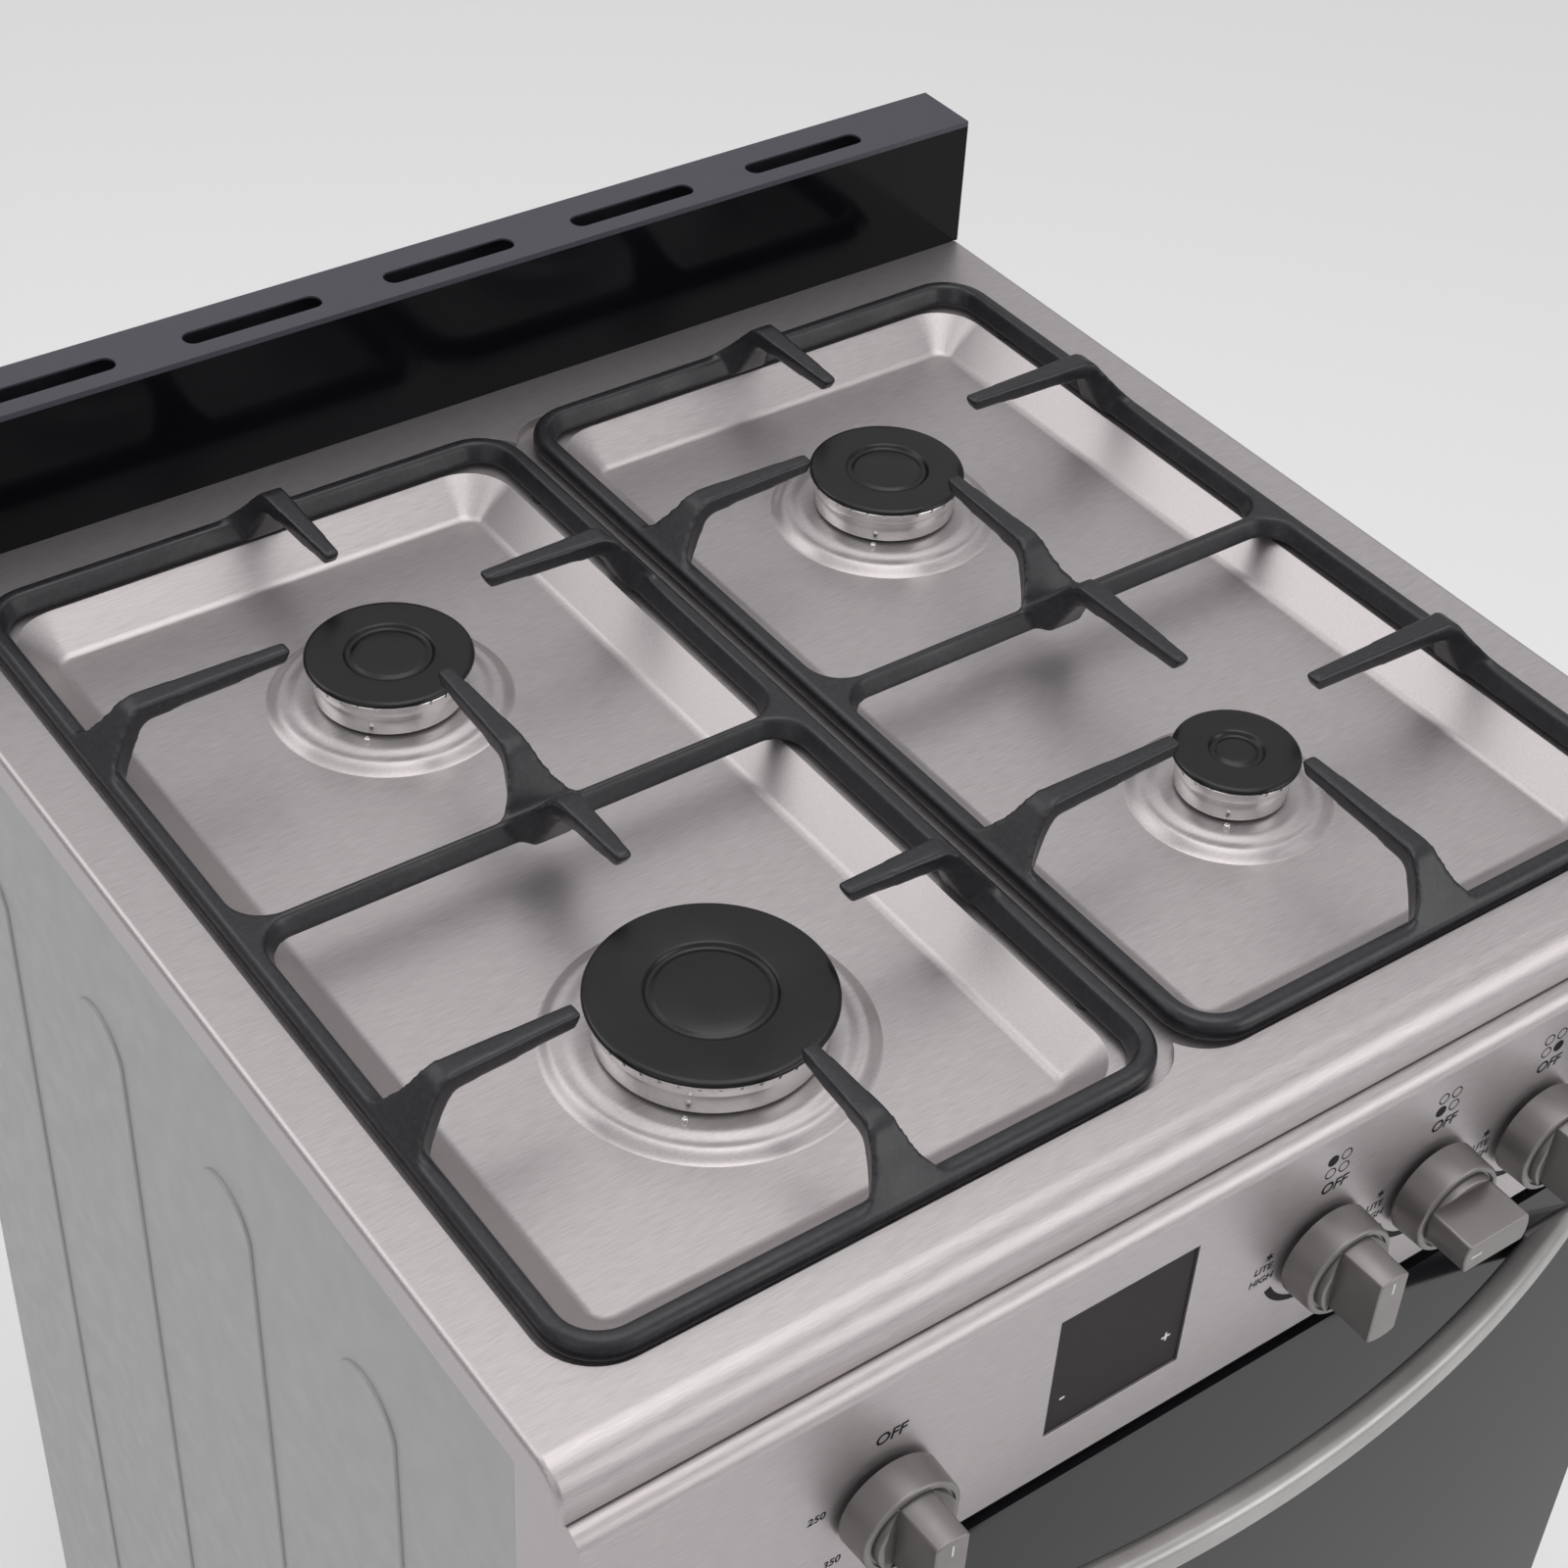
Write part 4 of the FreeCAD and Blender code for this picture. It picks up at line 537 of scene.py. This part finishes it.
def spark_tip(name):
    """Steel stub of the spark electrode, with a collar round its foot."""
    profile = stepped((0, 2.0, -19.6), (0, 2.3, -19.3), (0, 2.3, -17.2), (0, 2.0, -16.9),
                      (0, 1.5, -16.8), (0, 1.5, -14.2), (0, 1.2, -13.8), (0, 0.7, -13.6))
    return lathe(f"tip_{name}", profile, spark_place(name), SPARK_STEPS)


def spark_sleeve(name):
    """White ceramic sleeve that holds the electrode below the deck's ring."""
    profile = stepped((0, 2.6, -37.0), (0, 2.9, -36.4), (0, 2.9, -20.2), (0, 2.6, -19.7))
    return lathe(f"sleeve_{name}", profile, spark_place(name), SPARK_STEPS)


head_pieces = [make(name) for make in (burner_ring, spark_tip) for name in BURNER_NAMES]
heads = joined("burner_rings", head_pieces)
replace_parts(settle(heads, "cabinet", "burner_alloy"), "burner_heads")
sleeves = joined("spark_sleeves", [spark_sleeve(name) for name in BURNER_NAMES])
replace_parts(settle(sleeves, "cabinet", "ceramic"), "igniter_electrodes")


def burner_cap(name):
    """Enamelled lid with a thin flat rim, a ring recess and a slightly raised middle."""
    x, y, cap, seat = cap_place(name)
    dish = cap * DISH_SHARE[name]
    profile = stepped(
        (cap, -4.6, 0), (cap, -4.2, 0.3), (cap, -4.2, 1.9), (cap, -0.7, 1.9), (cap, -0.2, 2.1),
        (cap, 0, 2.5), (cap, -0.05, 3.0), (cap, -0.35, 3.6), (cap, -0.9, 4.1), (cap, -1.7, 4.38),
        (cap, -2.8, 4.45), (dish, 1.5, 4.45), (dish, 0.8, 4.3), (dish, 0.2, 3.8),
        (dish, -0.3, 3.0), (dish, -0.9, 2.6), (dish, -1.7, 2.5), (dish, -2.5, 2.7),
        (dish, -3.4, 3.2), (dish, -4.3, 3.45), (dish * 0.3, 0, 3.5))
    piece = lathe(f"cap_{name}_turned", profile, (x, y, seat), BURNER_STEPS)
    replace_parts(settle(piece, node_body[f"burner_cap_{name}"], "cap_enamel"), f"burner_cap_{name}")


for burner in BURNER_NAMES:
    burner_cap(burner)

for side in ("left", "right"):
    melted(f"grate_{side}", grain=1.0 * MM, passes=14, kept_share=0.3)


# Sheets and handle

SOFT_EDGES = {    # width of the rounding, and how many facets it has
    "cooktop_deck": (0.8 * MM, 2), "control_panel": (0.6 * MM, 2),
    "backguard_body": (0.6 * MM, 2), "drawer_front": (1.2 * MM, 3),
    "left_side_panel": (0.6 * MM, 2), "right_side_panel": (0.6 * MM, 2),
}
for node, (edge_width, facets) in SOFT_EDGES.items():
    softened(node, edge_width, facets)

BAR_DEPTH, BAR_END_DEPTH, BAR_ROUNDING = 14 * MM, 2.9 * MM, 5.0 * MM
BAR_CORNER_FACETS, BAR_STEPS = 7, 96
BAR_OVERSHOOT = 1.06    # the sweep runs past both ends, which are then cut square


def handle_bar():
    """The bowed handle: a rounded section swept along its arc, cut square at both ends and
    cut flat where it lies on its feet."""
    low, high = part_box("door_handle")
    half = high.x
    sag = high.y - BAR_END_DEPTH - low.y
    bow = (half * half + sag * sag) / (2 * sag)
    centre = (0, low.y + bow, (low.z + high.z) / 2)
    bpy.ops.mesh.primitive_plane_add(size=1, location=(0, low.y + BAR_DEPTH / 2, centre[2]),
                                     rotation=(0, math.pi / 2, 0))
    bar = added("handle_bar")
    bar.scale = (high.z - low.z, BAR_DEPTH, 1)
    fix_in_place(bar)
    bpy.ops.object.mode_set(mode="EDIT")
    bpy.ops.mesh.select_all(action="SELECT")
    bpy.ops.mesh.bevel(offset=BAR_ROUNDING, segments=BAR_CORNER_FACETS, affect="VERTICES")
    bpy.ops.mesh.select_all(action="SELECT")
    reach = math.asin(half / bow) * BAR_OVERSHOOT
    bpy.ops.transform.rotate(value=-reach, orient_axis="Z", center_override=centre)
    bpy.ops.mesh.spin(steps=BAR_STEPS, angle=2 * reach, center=centre, axis=(0, 0, 1))
    for place, facing in (((-half, 0, 0), (-1, 0, 0)), ((half, 0, 0), (1, 0, 0)),
                          ((0, high.y, 0), (0, 1, 0))):
        bpy.ops.mesh.select_all(action="SELECT")
        bpy.ops.mesh.bisect(plane_co=place, plane_no=facing, use_fill=True, clear_outer=True)
    close_mesh()
    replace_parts(settle(bar, "oven_door", "stainless", HANDLE_SATIN), "door_handle")


handle_bar()


# Rear cover

SCREW_REACH, SCREW_HEIGHTS = 266 * MM, (95, 300, 520, 740, 885)
FLANGE_STEPS, HEAD_SIDES = 32, 6
SCREW_PLACES = [(side * SCREW_REACH, z * MM) for side in (-1, 1) for z in SCREW_HEIGHTS]


def rear_screw():
    """Sheet-metal screw with a flange and a six-sided head, at the first of its places."""
    flange = stepped((0, 5.0, 0.02), (0, 5.0, 0.6), (0, 4.6, 1.0))
    head = stepped((0, 3.6, 0.8), (0, 3.6, 3.0), (0, 3.0, 3.5))
    screw = joined("rear_screw", [lathe("screw_flange", flange, (0, 0, 0), FLANGE_STEPS),
                                  lathe("screw_head", head, (0, 0, 0), HEAD_SIDES)])
    x, z = SCREW_PLACES[0]
    screw.rotation_euler = (-math.pi / 2, 0, 0)
    screw.location = (x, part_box("rear_cover")[1].y, z)
    fix_in_place(screw)
    return screw


screws = [rear_screw()]
for place in SCREW_PLACES[1:]:
    only(screws[0])
    bpy.ops.object.duplicate()
    screw_copy = bpy.context.active_object
    screw_copy.location = (place[0] - SCREW_PLACES[0][0], 0, place[1] - SCREW_PLACES[0][1])
    fix_in_place(screw_copy)
    screws.append(screw_copy)
settle(joined("rear_screws", screws), "cabinet", "plain_steel")


# Knobs and printed marks

KNOB_NAMES = ("rear_left", "front_left", "front_right", "rear_right", "oven")
SIDEWAYS_KNOB = "front_left"    # turned to its left in the photo, the others point up
GRIP_DEPTH, GRIP_ROUNDING, GRIP_FACETS = 12 * MM, 0.9 * MM, 3    # only the front is rounded
panel_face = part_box("control_panel")[0].y

# Print starts just in front of its face: letters are placed by their middle, signs by their back
PRINT_LIFT, PRINT_THICKNESS, SIGN_LIFT = 0.05 * MM, 0.04 * MM, 0.01 * MM
BOLDER = 0.016    # a letter's outline is moved out by this share of its size

# Places of the marks round a knob, in millimetres from its centre
OFF_HEIGHT, WORD_ACROSS, SIGN_HEIGHT = 34.5, -31, 47
SPARK_ACROSS, SPARK_HEIGHT = -28.5, 10
HOB_WORDS = (("lite", "LITE", 4), ("high", "HIGH", -2.5))
OVEN_FIGURES = (("low", "250", -31, 8), ("mid", "350", -22, -25), ("high", "450", 22, -25))
OFF_SIZE, WORD_SIZE, FIGURE_SIZE, DISPLAY_SIZE = 8.0 * MM, 5.2 * MM, 5.4 * MM, 9 * MM
OFF_SLANT, WORD_SLANT = 0.2, 0.15
DISPLAY_HEIGHT = 0.813

# Burner signs: distance of a ring from the middle, its radius, its line as a share of the radius
SIGN_SPREAD, SIGN_RADIUS, SIGN_LINE, SIGN_STEPS = 3.6 * MM, 2.9 * MM, 0.22, 40
PINHOLE = 0.01 * MM

# Spark sign: its radius, and how far every other point is drawn in
SPARK_RADIUS, SPARK_WAIST, SPARK_POINTS = 2.6 * MM, 0.42, 12

# Heat arc: its radius, the angles it runs between, and how it is drawn out to the lower left
HEAT_RADIUS, HEAT_POINTS, HEAT_FROM, HEAT_TO = 26 * MM, 120, 203, 318
HEAT_SHIFT, HEAT_GROWTH = (-2.1 * MM, -0.9 * MM, 0), 1.05


def knob_centre(name):
    """Centre of a knob across and up, and the Y of its front."""
    low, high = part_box(f"knob_{name}")
    return (low.x + high.x) / 2, (low.z + high.z) / 2, low.y


for name in KNOB_NAMES:
    softened(f"knob_{name}", GRIP_ROUNDING, GRIP_FACETS, front=knob_centre(name)[2] + GRIP_DEPTH)


def printed(name, words, size, x, y, z, slant=0.0):
    """Raised print on an upright face that looks to the front, centred on x and z."""
    bpy.ops.object.text_add(location=(0, 0, 0))
    text = added(name)
    text.data.body = words
    text.data.size = size
    text.data.shear = slant
    text.data.align_x = "CENTER"
    text.data.align_y = "CENTER"
    text.data.extrude = PRINT_THICKNESS
    text.data.offset = BOLDER * size
    bpy.ops.object.convert(target="MESH")
    piece = added(name)
    piece.rotation_euler = (math.pi / 2, 0, 0)
    piece.location = (x, y, z)
    fix_in_place(piece)
    return piece


def laid_on_panel(piece, x, z):
    """Stands a flat sign up on the panel's face."""
    piece.rotation_euler = (math.pi / 2, 0, 0)
    piece.location = (x, panel_face - SIGN_LIFT, z)
    fix_in_place(piece)
    return piece


def ring_mark(name, x, z, radius, filled):
    """One dot or ring of a burner sign, lying on the panel. A dot has a pinhole."""
    width = radius if filled else SIGN_LINE * radius
    inner = radius - width + PINHOLE
    profile = [(inner, 0.0), (radius, 0.0), (radius, PRINT_THICKNESS),
               (inner, PRINT_THICKNESS), (inner, 0.0)]
    return laid_on_panel(lathe(name, profile, (0, 0, 0), SIGN_STEPS, closed=False), x, z)


def drawn_circle(name, points, radius, fill, picked):
    """A circle of points in edit mode, with the points selected that picked(angle) names."""
    bpy.ops.mesh.primitive_circle_add(vertices=points, radius=radius, fill_type=fill)
    piece = added(name)
    bpy.ops.object.mode_set(mode="EDIT")
    bpy.ops.mesh.select_mode(type="VERT")
    bpy.ops.mesh.select_all(action="DESELECT")
    bpy.ops.object.mode_set(mode="OBJECT")
    for point in piece.data.vertices:
        point.select = picked(math.degrees(math.atan2(point.co.y, point.co.x)) % 360)
    bpy.ops.object.mode_set(mode="EDIT")
    return piece


def raise_print():
    """Gives the flat sign in edit mode the thickness of print."""
    bpy.ops.mesh.select_all(action="SELECT")
    bpy.ops.mesh.extrude_region_move(TRANSFORM_OT_translate={"value": (0, 0, PRINT_THICKNESS)})
    bpy.ops.mesh.select_all(action="SELECT")
    bpy.ops.mesh.normals_make_consistent(inside=False)
    bpy.ops.object.mode_set(mode="OBJECT")


def spark_mark(name, x, z):
    """A six-pointed spark sign: every other point of a circle is drawn in."""
    pitch = 360 / SPARK_POINTS
    piece = drawn_circle(name, SPARK_POINTS, SPARK_RADIUS, "NGON",
                         lambda angle: round(angle / pitch) % 2 == 0)
    bpy.ops.transform.resize(value=(SPARK_WAIST, SPARK_WAIST, 1), center_override=(0, 0, 0))
    raise_print()
    return laid_on_panel(piece, x, z)


def heat_mark(name, x, z):
    """The tapered arc that runs from HIGH round the lower left of a hob knob: the part of a
    circle between two angles, drawn out to the lower left."""
    piece = drawn_circle(name, HEAT_POINTS, HEAT_RADIUS, "NOTHING",
                         lambda angle: angle < HEAT_FROM or angle > HEAT_TO)
    bpy.ops.mesh.delete(type="VERT")
    bpy.ops.mesh.select_all(action="SELECT")
    bpy.ops.mesh.extrude_edges_move(TRANSFORM_OT_translate={"value": HEAT_SHIFT})
    bpy.ops.transform.resize(value=(HEAT_GROWTH, HEAT_GROWTH, 1), center_override=(0, 0, 0))
    raise_print()
    return laid_on_panel(piece, x, z)


def burner_sign(name, x, z):
    """Four rings in a square, with a dot for the burner that the knob serves."""
    signs = []
    for burner in BURNER_NAMES:
        across = SIGN_SPREAD if "right" in burner else -SIGN_SPREAD
        up = SIGN_SPREAD if "rear" in burner else -SIGN_SPREAD
        signs.append(ring_mark(f"sign_{name}_{burner}", x + across, z + up, SIGN_RADIUS,
                               filled=burner == name))
    return signs


marks = []
print_y = panel_face - PRINT_LIFT
for name in KNOB_NAMES:
    x, z, _ = knob_centre(name)
    marks.append(printed(f"off_{name}", "OFF", OFF_SIZE, x, print_y,
                         z + OFF_HEIGHT * MM, OFF_SLANT))
    if name == "oven":
        for level, figure, across, up in OVEN_FIGURES:
            marks.append(printed(f"oven_{level}", figure, FIGURE_SIZE, x + across * MM, print_y,
                                 z + up * MM, WORD_SLANT))
        continue
    marks.append(spark_mark(f"spark_{name}", x + SPARK_ACROSS * MM, z + SPARK_HEIGHT * MM))
    marks.append(heat_mark(f"heat_{name}", x, z))
    for tag, word, up in HOB_WORDS:
        marks.append(printed(f"{tag}_{name}", word, WORD_SIZE, x + WORD_ACROSS * MM, print_y,
                             z + up * MM, WORD_SLANT))
    marks += burner_sign(name, x, z + SIGN_HEIGHT * MM)
settle(joined("panel_marks", marks), "cabinet", "black_steel", PRINT_DARK)

display_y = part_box("display_window")[0].y - PRINT_LIFT
display_marks = [printed(f"display_{tag}", word, DISPLAY_SIZE, x * MM, display_y, DISPLAY_HEIGHT)
                 for tag, word, x in (("plus", "+", -31), ("minus", "-", -83))]
settle(joined("display_marks", display_marks), "cabinet", "ceramic", PRINT_LIGHT)

POINTER_LENGTH, POINTER_WIDTH, POINTER_DEPTH = 6.0 * MM, 0.9 * MM, 0.2 * MM
POINTER_REACH, POINTER_ROUNDING = 11.5 * MM, 0.08 * MM


def pointer(name):
    """The pale line let into the front of a knob's grip, near its pointing end."""
    x, z, front = knob_centre(name)
    bpy.ops.mesh.primitive_cube_add(size=1)
    piece = added(f"pointer_{name}")
    if name == SIDEWAYS_KNOB:
        piece.scale = (POINTER_LENGTH, POINTER_DEPTH, POINTER_WIDTH)
        piece.location = (x - POINTER_REACH, front, z)
    else:
        piece.scale = (POINTER_WIDTH, POINTER_DEPTH, POINTER_LENGTH)
        piece.location = (x, front, z + POINTER_REACH)
    fix_in_place(piece)
    bevel = piece.modifiers.new("round_ends", "BEVEL")
    bevel.width = POINTER_ROUNDING
    bevel.segments = 2
    apply_modifiers(piece)
    settle(piece, node_body[f"knob_{name}"], "ceramic", PRINT_LIGHT)


for name in KNOB_NAMES:
    pointer(name)


# Stage, light and camera

FLOOR_SIZE = 14
SKY_STOPS = ((0.0, 0.24), (1.0, 0.85))    # how far up one looks, and how bright it is there

bpy.ops.mesh.primitive_plane_add(size=FLOOR_SIZE, location=(0, 0, 0))
floor = added("pale_floor")
paint(floor, Finish("pale_floor", tone(244, 244, 244), 0.7))

world = bpy.data.worlds.new("soft_room")
bpy.context.scene.world = world
world.use_nodes = True
sky = world.node_tree
direction = sky.nodes.new("ShaderNodeTexCoord")
split = sky.nodes.new("ShaderNodeSeparateXYZ")
shade = sky.nodes.new("ShaderNodeValToRGB")
for element, (position, level) in zip(shade.color_ramp.elements, SKY_STOPS):
    element.position = position
    element.color = (level, level, level, 1.0)
sky.links.new(direction.outputs["Generated"], split.inputs["Vector"])
sky.links.new(split.outputs["Z"], shade.inputs["Fac"])
sky.links.new(shade.outputs["Color"], sky.nodes["Background"].inputs["Color"])


def soft_light(name, place, target, size, watts):
    """A rectangular lamp that looks from its place at a target."""
    bpy.ops.object.light_add(type="AREA", location=place)
    lamp = bpy.context.active_object
    lamp.name = name
    lamp.data.shape = "RECTANGLE"
    lamp.data.size, lamp.data.size_y = size
    lamp.data.energy = watts
    aim = Vector(target) - Vector(place)
    lamp.rotation_euler = aim.to_track_quat("-Z", "Y").to_euler()


soft_light("overhead", (0.2, -0.1, 3.0), (0, 0, 0.9), (2.2, 1.4), watts=15)
soft_light("rear_window", (-1.2, 1.4, 2.6), (0.2, 0, 0.9), (1.5, 1.5), watts=11)
soft_light("left_fill", (-2.6, -1.2, 1.8), (0, 0, 0.7), (1.6, 1.6), watts=5)
soft_light("front_fill", (1.6, -2.6, 1.8), (0, -0.1, 0.9), (2.2, 1.8), watts=24)

deck_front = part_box("cooktop_deck")[0].y
CAMERA_PLACE = (-0.604, deck_front - 0.4853, 1.699)
CAMERA_TURN = (49.667, -2.714, -35.403)    # degrees
CAMERA_SENSOR, CAMERA_LENS = 36, 66.94     # millimetres
CAMERA_NEAR, CAMERA_FAR = 0.05, 50
bpy.ops.object.camera_add(location=CAMERA_PLACE,
                          rotation=[math.radians(angle) for angle in CAMERA_TURN])
camera = bpy.context.active_object
camera.data.sensor_width = CAMERA_SENSOR
camera.data.lens = CAMERA_LENS
camera.data.clip_start = CAMERA_NEAR
camera.data.clip_end = CAMERA_FAR
bpy.context.scene.camera = camera
bpy.context.scene.view_settings.view_transform = "Standard"
